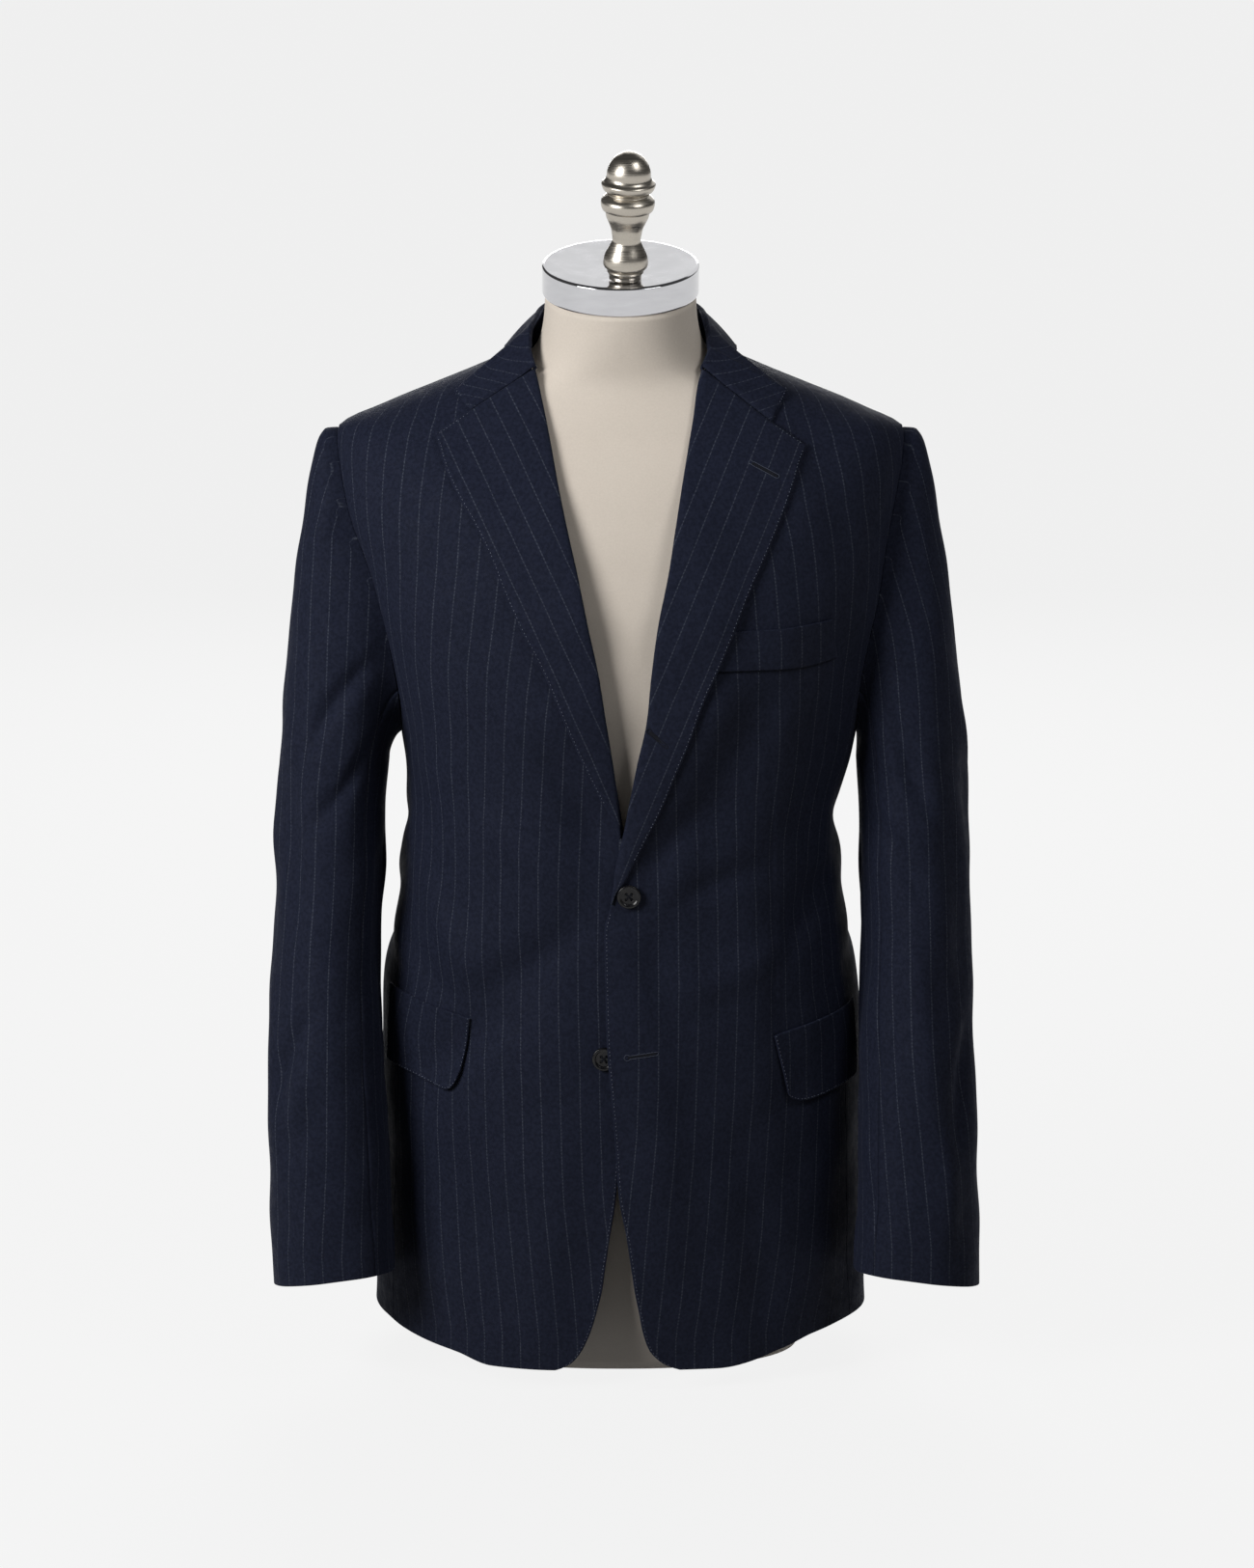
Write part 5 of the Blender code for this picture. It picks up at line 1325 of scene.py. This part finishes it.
def build_buttonhole(name, ends, half_width, eye, place, looks):
    (points, faces), slit = buttonhole(*ends, half_width, eye, place)
    # the slit's triangles take the second look, a dark colour painted as the shade inside the cut
    dark = triangles(grid_faces(*slit.shape[:2], len(points)))
    slots = np.concatenate((np.zeros(len(faces), int), np.ones(len(dark), int)))
    shape = np.concatenate((points, slit.reshape(-1, 3)))
    return mesh_object(name, shape, np.concatenate((faces, dark)), looks, None, slots)


BUTTON_RINGS = 44
BUTTON_SIDES = 96
BUTTON_HOLE_DEPTH = 0.0014
# from the middle of the back over the rim to the face: height, radius, as shares
BUTTON_PROFILE = (
    (0.00, 0.80),
    (0.12, 0.91),
    (0.30, 0.965),
    (0.55, 1.00),
    (0.78, 0.985),
    (0.93, 0.945),
    (1.00, 0.87),
    (0.97, 0.79),
    (0.84, 0.715),
    (0.74, 0.66),
    (0.70, 0.60),
)


def button_rows():
    """Heights and radii of the button's rings, as shares of its thickness and its half width."""
    profile = catmull(np.array(BUTTON_PROFILE), BUTTON_RINGS)
    flat = np.linspace(profile[-1, 1], 0.004, BUTTON_RINGS)[1:]
    rows = [(up, r) for up, r in profile] + [(0.70 - 0.03 * (1 - (r / 0.6) ** 2), r) for r in flat]
    return np.array(rows).T


def build_button(name, side, spot, looks):
    """A button with a raised rim and four holes, and the thread through them."""
    base, normal = on_front(side, *spot, BUTTON_GAP)
    across = unit(np.cross(normal, np.array((0, 0, 1.0))))
    over = np.cross(normal, across)
    up, r = button_rows()
    turn = np.arange(BUTTON_SIDES) / BUTTON_SIDES * 2 * math.pi
    px, pz = (r[:, None] * BUTTON_DIAMETER / 2 * way(turn) for way in (np.cos, np.sin))
    height = np.broadcast_to(up[:, None] * BUTTON_THICKNESS, px.shape).copy()
    inner = (np.arange(len(up)) >= BUTTON_RINGS)[:, None]
    half = BUTTON_HOLE_SPACING / 2
    for sx, sz in ((-half, -half), (-half, half), (half, -half), (half, half)):
        away = np.hypot(px - sx, pz - sz)
        height -= BUTTON_HOLE_DEPTH * fade(away, BUTTON_HOLE * 0.42, BUTTON_HOLE * 0.60) * inner
    points = base + px[..., None] * across + pz[..., None] * over + height[..., None] * normal
    made = fan_closed(name, points, looks[:1])
    return made, build_button_thread(name + "_thread", base, across, over, normal, looks[1:])


def build_button_thread(name, base, across, over, normal, looks):
    """Crossed sewing thread through the four holes."""
    t = np.linspace(-1.0, 1.0, 15)
    along = t * BUTTON_HOLE_SPACING / 2
    shapes = []
    for sign in (1, -1):
        rise = BUTTON_THICKNESS * (0.80 - 0.42 * np.abs(t) ** 4) + (THREAD_CROSSING if sign > 0 else 0.0)
        for shift in (-THREAD_SHIFT, THREAD_SHIFT):
            path = base + (along + shift * sign)[:, None] * across + (along * sign - shift)[:, None] * over
            path = path + rise[:, None] * normal
            shapes.append(tube_shape(path, np.broadcast_to(normal, path.shape), THREAD_RADIUS, 6, False))
    return mesh_object(name, *joined(shapes), looks)


# The dress form

def form_ring_points(angle, z):
    """Points of the dress form, under the cloth: level inwards up to the chest, square to the
    cloth over the shoulders."""
    flat = fade(z, 0.60, 0.66)
    level = np.stack(np.broadcast_arrays(1.0, 1.0, 1.0 - flat), axis=-1)
    normal = unit(torso_normal(angle, z) * level)
    return torso(angle, z) - normal * (CLOTH + smooth(FORM_GAP, 1, z))[..., None]


def neck_end(angle):
    """The neck's upper ring, tilted like the cap."""
    turn = np.radians(angle)
    x = NECK_RADIUS * np.sin(turn)
    y = NECK_CENTRE_Y - NECK_RADIUS * np.cos(turn)
    return np.stack((x, y, NECK_TOP + (y - NECK_CENTRE_Y) * math.tan(CAP_TILT)), axis=-1)


def build_form(name, looks):
    """The dress form: rings under the cloth up to the neck's foot, then the neck to its cap."""
    angles = np.linspace(-180.0, 180.0, int(160 * DETAIL) + 1)[:-1]
    top = NECK_FOOT - NECK_FOOT_TILT * np.cos(np.radians(angles))
    low = np.linspace(0, ARM_TOP, int(90 * DETAIL))[:, None]
    upper = mix(ARM_TOP, top, np.linspace(0, 1, 12)[1:, None])
    rows = np.concatenate([form_ring_points(angles, z) for z in (low, upper)])
    slope = unit(rows[-1] - form_ring_points(angles, top - 0.004))
    end = neck_end(angles)
    reach = length_of(end - rows[-1])[:, None]
    rise = reach * np.array((0, 0, 1.9))
    neck = [hermite(rows[-1], slope * reach * 1.5, end, rise, t) for t in np.linspace(0, 1, 40)[1:]]
    return fan_closed(name, np.concatenate((rows, neck)), looks)


def fan_closed(name, rows, looks):
    """A solid from rings of points, closed at both ends by fans."""
    count, sides = rows.shape[:2]
    low = count * sides
    first = np.arange(sides)
    last = first + (count - 1) * sides
    ends = np.stack((rows[0].mean(axis=0), rows[-1].mean(axis=0)))
    faces = np.concatenate((
        triangles(grid_faces(count, sides, 0, True)),
        np.stack((np.full(sides, low), np.roll(first, -1), first), axis=1),
        np.stack((np.full(sides, low + 1), last, np.roll(last, -1)), axis=1),
    ))
    return mesh_object(name, np.concatenate((rows.reshape(-1, 3), ends)), faces, looks)


def turned(name, profile, base, axis, sides, looks):
    """A turned solid: rows of (height, radius) round an axis."""
    across = unit(np.cross(axis, np.array((0.0, 1.0, 0.31))))
    spread = circle(across, np.cross(axis, across), sides)
    profile = np.asarray(profile)
    rows = base + profile[:, :1, None] * axis + profile[:, 1:2, None] * spread[None]
    return fan_closed(name, rows, looks)


def rounded_profile(corners, radius, steps=6):
    """A profile whose inner corners are rounded."""
    found = [corners[0]]
    for before, at, after in zip(corners, corners[1:], corners[2:]):
        before, at, after = (np.array(p, float) for p in (before, at, after))
        r = min(radius, length_of(at - before) * 0.45, length_of(after - at) * 0.45)
        start, end = at + unit(before - at) * r, at + unit(after - at) * r
        for t in np.linspace(0, 1, steps):
            found.append(mix(mix(start, at, t), mix(at, end, t), t))
    return np.array(found + [corners[-1]])


def build_cap_and_finial(chrome, nickel):
    axis = np.array((0.0, -math.sin(CAP_TILT), math.cos(CAP_TILT)))
    base = np.array((0.0, NECK_CENTRE_Y, NECK_TOP)) + axis * PART_GAP
    r, h = CAP_RADIUS, CAP_HEIGHT
    corners = [(0.0, r - 0.004), (0.0, r - 0.0006), (0.0012, r), (0.0024, r), (h - 0.0022, r)]
    corners += [(h - 0.0012, r), (h, r - 0.0016), (h, r - 0.0060), (h - 0.0003, 0.030), (h - 0.0004, 0.002)]
    cap = turned("neck_cap_turned", rounded_profile(corners, 0.0010), base, axis, 192, [chrome])
    lean = unit(axis + np.array((math.tan(FINIAL_LEAN), 0.0, 0.0)))
    forward = np.array((0.0, -math.cos(CAP_TILT), -math.sin(CAP_TILT)))
    foot = base + forward * FINIAL_FORWARD + np.array((FINIAL_SIDEWAYS, 0.0, 0.0))
    foot = foot + axis * (CAP_HEIGHT + PART_GAP + 0.0005)
    finial = turned("finial_turned", catmull(np.array(FINIAL), 130), foot, lean, 72, [nickel])
    return cap, finial


# Materials

CLOTH_DARK = (0.0102, 0.0126, 0.0248, 1.0)
CLOTH_LIGHT = (0.0160, 0.0194, 0.0372, 1.0)
STRIPE_COLOR = (0.070, 0.080, 0.108, 1.0)
SHEEN_COLOR = (0.55, 0.60, 0.80, 1.0)
LINING_COLORS = ((0.006, 0.007, 0.013, 1.0), (0.011, 0.012, 0.021, 1.0))
PALE_THREAD = ((0.090, 0.102, 0.140, 1.0), (0.170, 0.188, 0.240, 1.0))
NAVY_THREAD = ((0.045, 0.052, 0.078, 1.0), (0.085, 0.096, 0.130, 1.0))
# dark thread of the buttons and of the roll buttonhole, also painted on the buttonhole slits as the shade
# inside the cut
DARK_THREAD_AND_SLIT_SHADE = ((0.006, 0.007, 0.010, 1.0), (0.014, 0.015, 0.022, 1.0))
HORN_COLORS = ((0.0045, 0.0045, 0.0060, 1.0), (0.0160, 0.0145, 0.0145, 1.0))
CANVAS_LIGHT = (0.84, 0.755, 0.66, 1.0)
CANVAS_DARK = (0.70, 0.62, 0.53, 1.0)
CHROME_COLOR = (0.66, 0.66, 0.68, 1.0)
NICKEL_COLOR = (0.51, 0.47, 0.41, 1.0)
WHITE = (1.0, 1.0, 1.0, 1.0)
# from one dot of chalk, one rib of the twill or one thread of the canvas to the next
CHALK_PITCH = 0.0025
TWILL_PITCH = 0.0012
WEAVE_PITCH = 0.0009


def new_look(name):
    """A material, its tree of nodes, its shader and the place on the object."""
    made = bpy.data.materials.new(name)
    made.use_nodes = True
    tree = made.node_tree
    return made, tree, tree.nodes["Principled BSDF"], node(tree, "TexCoord").outputs["Object"]


def feed(tree, socket, value):
    """A value stays a value of the socket; another socket is linked to it."""
    if isinstance(value, bpy.types.NodeSocket):
        tree.links.new(value, socket)
    else:
        socket.default_value = value


def node(tree, kind, inputs=None, **settings):
    """A shader node. inputs maps a socket's name or number to a value or to another socket."""
    made = tree.nodes.new("ShaderNode" + kind)
    for key, value in settings.items():
        setattr(made, key, value)
    for key, value in (inputs or {}).items():
        feed(tree, made.inputs[key], value)
    return made


def calc(tree, operation, first, second=0.0):
    return node(tree, "Math", {0: first, 1: second}, operation=operation).outputs[0]


def ramp(tree, value, low, high, to_low=0.0, to_high=1.0):
    inputs = {"Value": value, "From Min": low, "From Max": high, "To Min": to_low, "To Max": to_high}
    return node(tree, "MapRange", inputs, interpolation_type="SMOOTHSTEP").outputs["Result"]


def noise(tree, scale, detail=2.0, vector=None):
    inputs = {"Scale": scale, "Detail": detail}
    if vector is not None:
        inputs["Vector"] = vector
    return node(tree, "TexNoise", inputs).outputs["Fac"]


def blend_colors(tree, factor, first, second):
    return node(tree, "Mix", {0: factor, 6: first, 7: second}, data_type="RGBA").outputs[2]


def set_inputs(tree, shader, **values):
    for key, value in values.items():
        feed(tree, shader.inputs[key.replace("_", " ")], value)


def raised(tree, strength, distance, height):
    inputs = {"Strength": strength, "Distance": distance, "Height": height}
    return node(tree, "Bump", inputs).outputs[0]


def chalk_stripe(tree, across, along, place):
    """The stripe's band and, within it, the uneven dots of chalk."""
    wander = calc(tree, "MULTIPLY", calc(tree, "SUBTRACT", noise(tree, 38.0, 2.0, place), 0.5), 0.05)
    count = calc(tree, "FRACT", calc(tree, "ADD", calc(tree, "ADD", across, wander), 0.5))
    off = calc(tree, "ABSOLUTE", calc(tree, "SUBTRACT", count, 0.5))
    band = ramp(tree, calc(tree, "MULTIPLY", off, 1000 * STRIPE_SPACING), 0.12, 0.66, 1.0, 0.0)
    dots = calc(tree, "SINE", calc(tree, "MULTIPLY", along, 2 * math.pi / CHALK_PITCH))
    uneven = calc(tree, "ADD", calc(tree, "MULTIPLY", dots, 0.16), noise(tree, 620.0, 2.0, place))
    chalk = ramp(tree, uneven, 0.36, 0.68, 0.22, 1.0)
    faint = ramp(tree, noise(tree, 60.0, 2.0, place), 0.30, 0.70, 0.72, 1.0)
    return band, calc(tree, "MULTIPLY", calc(tree, "MULTIPLY", band, chalk), faint)


def suiting_look():
    """Navy worsted: fine twill, soft nap and pale chalk stripes drawn along the cloth's own map."""
    made, tree, shader, place = new_look("navy_chalk_stripe_worsted")
    cloth = node(tree, "SeparateXYZ", {0: node(tree, "UVMap", uv_map="cloth").outputs[0]})
    across, along = cloth.outputs[0], cloth.outputs[1]
    band, stripe = chalk_stripe(tree, across, along, place)
    mottle = ramp(tree, noise(tree, 420.0, 3.0, place), 0.30, 0.70)
    navy = blend_colors(tree, mottle, CLOTH_DARK, CLOTH_LIGHT)
    color = blend_colors(tree, calc(tree, "MULTIPLY", stripe, 0.80), navy, STRIPE_COLOR)
    rough = ramp(tree, noise(tree, 150.0, 3.0, place), 0.30, 0.70, 0.66, 0.80)
    diagonal = calc(tree, "ADD", calc(tree, "MULTIPLY", across, STRIPE_SPACING), along)
    twill = calc(tree, "SINE", calc(tree, "MULTIPLY", diagonal, 2 * math.pi / TWILL_PITCH))
    nap = calc(tree, "MULTIPLY", noise(tree, 900.0, 3.0, place), 1.6)
    height = calc(tree, "ADD", calc(tree, "MULTIPLY", twill, 0.35), nap)
    height = calc(tree, "ADD", height, calc(tree, "MULTIPLY", band, 0.5))
    normal = raised(tree, 0.15, 0.0003, height)
    set_inputs(tree, shader, Base_Color=color, Roughness=rough, Normal=normal, Specular_IOR_Level=0.05)
    set_inputs(tree, shader, Sheen_Weight=0.03, Sheen_Roughness=0.45, Sheen_Tint=SHEEN_COLOR)
    return made


def lining_look():
    made, tree, shader, place = new_look("dark_satin_lining")
    color = blend_colors(tree, noise(tree, 30.0, 2.0, place), *LINING_COLORS)
    normal = raised(tree, 0.15, 0.0004, noise(tree, 120.0, 3.0, place))
    set_inputs(tree, shader, Base_Color=color, Normal=normal, Roughness=0.42)
    return made


def thread_look(name, low, high):
    made, tree, shader, place = new_look(name)
    color = blend_colors(tree, noise(tree, 1500.0, 2.0, place), low, high)
    normal = raised(tree, 0.5, 0.0001, noise(tree, 2600.0, 2.0, place))
    set_inputs(tree, shader, Base_Color=color, Normal=normal, Roughness=0.80, Specular_IOR_Level=0.10)
    return made


def horn_look():
    """Dark marbled horn, satin."""
    made, tree, shader, place = new_look("dark_horn")
    marbled = ramp(tree, noise(tree, 260.0, 4.0, place), 0.45, 0.75)
    rough = ramp(tree, noise(tree, 500.0, 2.0, place), 0.3, 0.7, 0.22, 0.34)
    set_inputs(tree, shader, Base_Color=blend_colors(tree, marbled, *HORN_COLORS), Roughness=rough)
    set_inputs(tree, shader, Specular_IOR_Level=0.22, Coat_Weight=0.10, Coat_Roughness=0.10)
    return made


def canvas_look():
    """Cream canvas drawn tight: a plain weave of two threads."""
    made, tree, shader, place = new_look("cream_canvas")
    level = node(tree, "SeparateXYZ", {0: place})
    warp, weft = (
        calc(tree, "SINE", calc(tree, "MULTIPLY", level.outputs[axis], 2 * math.pi / WEAVE_PITCH))
        for axis in (2, 0)
    )
    fibres = noise(tree, 700.0, 3.0, place)
    spots = calc(tree, "MULTIPLY", noise(tree, 20.0, 2.0, place), 0.4)
    tone = calc(tree, "ADD", calc(tree, "MULTIPLY", fibres, 0.7), spots)
    weave = calc(tree, "MULTIPLY", calc(tree, "MULTIPLY", warp, weft), 0.5)
    normal = raised(tree, 0.30, 0.0003, calc(tree, "ADD", weave, fibres))
    color = blend_colors(tree, tone, CANVAS_LIGHT, CANVAS_DARK)
    set_inputs(tree, shader, Base_Color=color, Normal=normal, Roughness=0.85, Sheen_Weight=0.1)
    return made


def metal_look(name, color, rough_low, rough_high, stretch, anisotropic):
    """Polished or brushed metal; stretch squeezes the brush marks along z."""
    made, tree, shader, place = new_look(name)
    lines = node(tree, "Mapping", {"Vector": place, "Scale": (1.0, 1.0, stretch)}).outputs[0]
    brushed = noise(tree, 60.0, 4.0, lines)
    rough = ramp(tree, brushed, 0.3, 0.7, rough_low, rough_high)
    dull = tuple(c * 0.86 for c in color[:3]) + (1.0,)
    normal = raised(tree, 0.05, 0.0002, brushed)
    set_inputs(tree, shader, Base_Color=blend_colors(tree, brushed, dull, color), Roughness=rough)
    set_inputs(tree, shader, Normal=normal, Metallic=1.0, Anisotropic=anisotropic)
    return made


# Scene

FLOOR_SIZE = 160.0
FLOOR_COLOR = (0.04, 0.04, 0.04, 1.0)
FLOOR_SHADE = (0.036, 0.036, 0.036, 1.0)
FLOOR_GLOW = 0.862
WORLD_LIGHT = 0.06
LIGHT_TARGET = Vector((0.0, 0.0, 0.45))
# name, place, width, height, brightness of the panel's face
PANELS = (
    ("key", (-1.52, -1.32, 1.36), 0.90, 0.90, 14.6),
    ("side_fill", (0.95, -0.90, 1.75), 0.60, 0.60, 5.60),
    ("back_fill", (0.30, 1.90, 1.90), 2.60, 1.60, 0.85),
    ("back_light", (0.0, 2.90, 1.50), 1.60, 1.20, 7.00),
)


def build_stage():
    """A pale floor that glows a little, as a light table does, so that shadows stay faint."""
    bpy.ops.mesh.primitive_plane_add(size=FLOOR_SIZE, location=(0, FLOOR_SIZE / 4, 0))
    floor = bpy.context.object
    floor.name = "floor"
    made, tree, shader, place = new_look("pale_floor")
    color = blend_colors(tree, noise(tree, 0.6, 2.0, place), FLOOR_COLOR, FLOOR_SHADE)
    set_inputs(tree, shader, Base_Color=color, Roughness=0.95, Specular_IOR_Level=0.1)
    set_inputs(tree, shader, Emission_Strength=FLOOR_GLOW, Emission_Color=WHITE)
    floor.data.materials.append(made)
    floor.visible_diffuse = False


def build_lights():
    """An even pale surrounding and the soft panels."""
    world = bpy.data.worlds.new("studio")
    world.use_nodes = True
    set_inputs(world.node_tree, world.node_tree.nodes["Background"], Color=WHITE, Strength=WORLD_LIGHT)
    bpy.context.scene.world = world
    for name, place, width, height, brightness in PANELS:
        light = bpy.data.lights.new(name, "AREA")
        light.shape = "RECTANGLE"
        light.size, light.size_y = width, height
        light.energy = brightness * math.pi * width * height
        lamp = bpy.data.objects.new(name, light)
        lamp.location = place
        lamp.rotation_euler = (Vector(place) - LIGHT_TARGET).to_track_quat("Z", "Y").to_euler()
        bpy.context.scene.collection.objects.link(lamp)


CAMERA_DISTANCE = 3.5
CAMERA_ELEVATION = math.radians(12.0)
CAMERA_TARGET = Vector((0.0047, 0.0, 0.4334))
PHOTO_HEIGHT = 1625
FOCAL_PIXELS = 4830.0


def build_camera():
    lens = bpy.data.cameras.new("camera")
    lens.sensor_fit = "VERTICAL"
    lens.sensor_height = 36.0
    lens.lens = FOCAL_PIXELS / PHOTO_HEIGHT * lens.sensor_height
    made = bpy.data.objects.new("camera", lens)
    back = Vector((0.0, -math.cos(CAMERA_ELEVATION), math.sin(CAMERA_ELEVATION)))
    made.location = CAMERA_TARGET + back * CAMERA_DISTANCE
    made.rotation_euler = back.to_track_quat("Z", "Y").to_euler()
    bpy.context.scene.collection.objects.link(made)
    bpy.context.scene.camera = made


# Putting it together


def finish_piece(piece, slot_name, *nodes):
    """Ties a piece to the body and hides the solids that it stands for; slot_name is not used."""
    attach(piece, "root")
    if nodes:
        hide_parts(*nodes)


def stitched(name, lines, look):
    """One object for the pick stitches along several lines of points and normals."""
    shapes = [stitch_shapes(path + up * STITCH_LIFT, up) for path, up in lines]
    finish_piece(mesh_object(name, *joined(shapes), [look]), "suiting")


def turned_grid(face):
    points, normals = face
    return points.transpose(1, 0, 2), normals.transpose(1, 0, 2)


def kept(line, mask):
    path, up = line
    return path[mask], up[mask]


def lapel_stitches(side, lapel):
    """Along the lapel's outer edge and along its upper edge beyond the notch."""
    edge = inset_line(*lapel, STITCH_INSET)
    upper = inset_line(*turned_grid(lapel), STITCH_INSET)
    wide = length_of(lapel[0][:, -1] - lapel[0][:, 0]) > STITCHED_WIDTH
    notch = NOTCH_LEFT if side > 0 else NOTCH_RIGHT
    out = np.abs(upper[0][:, 0]) > abs(notch[0]) + 0.001
    clear, clear_up = (length_of(line[0] - lapel[0][-1, -1]) > STITCH_INSET * 1.4 for line in (edge, upper))
    return [kept(edge, wide & clear), kept(upper, out & clear_up)]


def flap_stitches(flap):
    """Down the flap's two ends and along its lower edge."""
    inset = STITCH_INSET * 0.8
    ends = [inset_line(*flap, inset, last=last) for last in (False, True)]
    low = inset_line(*turned_grid(flap), inset)
    index = np.arange(len(low[0])) / len(low[0])
    found = [kept(line, np.arange(len(line[0])) < len(line[0]) * 0.88) for line in ends]
    return found + [kept(low, (index > 0.08) & (index < 0.92))]


def stitch_lines(side, word):
    """Pick stitches of one side: front edge, lapel and flap, a little inside each edge."""
    front = inset_line(*FACES["cloth_front_" + word], STITCH_INSET, last=False)
    z = front[0][:, 2]
    high = STITCHED_HEIGHTS[1 if side > 0 else 2]
    return {
        "stitches_front_" + word: [kept(front, (z > STITCHED_HEIGHTS[0]) & (z < high))],
        "stitches_lapel_" + word: lapel_stitches(side, FACES["cloth_lapel_" + word]),
        "stitches_flap_" + word: flap_stitches(FACES["cloth_flap_" + word]),
    }


def collar_stitch_lines():
    collar = FACES["cloth_collar"]
    edge = inset_line(*collar, STITCH_INSET)
    index = np.arange(len(edge[0]))
    return {"stitches_collar": [kept(edge, (index > 2) & (index < len(index) - 3))]}


def build_panels(looks):
    """Body panels, sleeves, lapels and flaps of both sides."""
    for side, word in SIDES:
        finish_piece(build_front(side, "cloth_front_" + word, looks), "suiting", "front_" + word)
        finish_piece(build_side(side, "cloth_side_" + word, looks), "suiting", "side_" + word)
        finish_piece(build_back(side, "cloth_back_" + word, looks), "suiting", "back_" + word)
        names = ("cloth_sleeve_top_" + word, "cloth_sleeve_under_" + word)
        for made, node_name in zip(build_sleeve(side, names, looks), ("sleeve_top_", "sleeve_under_")):
            finish_piece(made, "suiting", node_name + word)
        finish_piece(build_lapel(side, "cloth_lapel_" + word, looks[:1]), "suiting", "lapel_" + word)
        table = FLAP_LEFT if side > 0 else FLAP_RIGHT
        flap = build_laid("cloth_flap_" + word, side, table, FLAP_GAP, FLAP_CLOTH, looks[:1], FLAP_CURL)
        finish_piece(flap, "suiting", "pocket_flap_" + word)


def build_buttonholes(navy, dark):
    """The worked buttonholes of the lapel, of its roll and of the lower button."""
    # each hole's second look is painted on its slit as the shade inside the cut
    holes = (
        ("lapel_buttonhole", LAPEL_HOLE, 0.0013, lapel_place, [navy, dark]),
        ("roll_buttonhole", ROLL_HOLE, 0.0018, lapel_place, [dark, dark]),
        ("lower_buttonhole", LOWER_HOLE, 0.0022, front_place, [navy, dark]),
    )
    for name, ends, eye, place, threads in holes:
        finish_piece(build_buttonhole(name, ends, HOLE_HALF_WIDTH, eye, place, threads), "suiting")


def build_jacket(looks, pale, dark):
    """The jacket's cloth, its stitching and its buttons, all but the worked buttonholes."""
    build_panels(looks)
    welt = build_laid("cloth_welt", 1, WELT, WELT_GAP, WELT_CLOTH, looks[:1])
    finish_piece(welt, "suiting", "breast_welt")
    finish_piece(build_collar("cloth_collar", looks[:1]), "suiting", "collar")
    for lines in (*(stitch_lines(side, word) for side, word in SIDES), collar_stitch_lines()):
        for name, paths in lines.items():
            stitched(name, paths, pale)
    horn = horn_look()
    for name, side, spot in (("button_middle", 1, MIDDLE_BUTTON), ("button_lower", -1, LOWER_BUTTON)):
        button, thread = build_button(name + "_horn", side, spot, [horn, dark])
        finish_piece(button, "button_horn", name)
        finish_piece(thread, "button_horn")


def build_dress_form():
    finish_piece(build_form("form_torso_canvas", [canvas_look()]), "form_canvas", "form_torso")
    chrome = metal_look("polished_chrome", CHROME_COLOR, 0.06, 0.13, 4.0, 0.0)
    nickel = metal_look("brushed_nickel", NICKEL_COLOR, 0.24, 0.37, 30.0, 0.4)
    cap, finial = build_cap_and_finial(chrome, nickel)
    finish_piece(cap, "cap_chrome", "neck_cap")
    finish_piece(finial, "finial_nickel", "finial")


def corners(box):
    return [[float(value) for value in corner] for corner in box]


cloths = [suiting_look(), lining_look()]
pale_thread = thread_look("pale_thread", *PALE_THREAD)
navy_thread = thread_look("navy_thread", *NAVY_THREAD)
# dark thread, also painted on the buttonhole slits as their shade
dark_thread_and_slit_shade = thread_look("dark_thread_and_slit_shade", *DARK_THREAD_AND_SLIT_SHADE)
build_jacket(cloths, pale_thread, dark_thread_and_slit_shade)
build_dress_form()
build_buttonholes(navy_thread, dark_thread_and_slit_shade)
build_stage()
build_lights()
build_camera()
bpy.context.scene.view_settings.view_transform = "Standard"
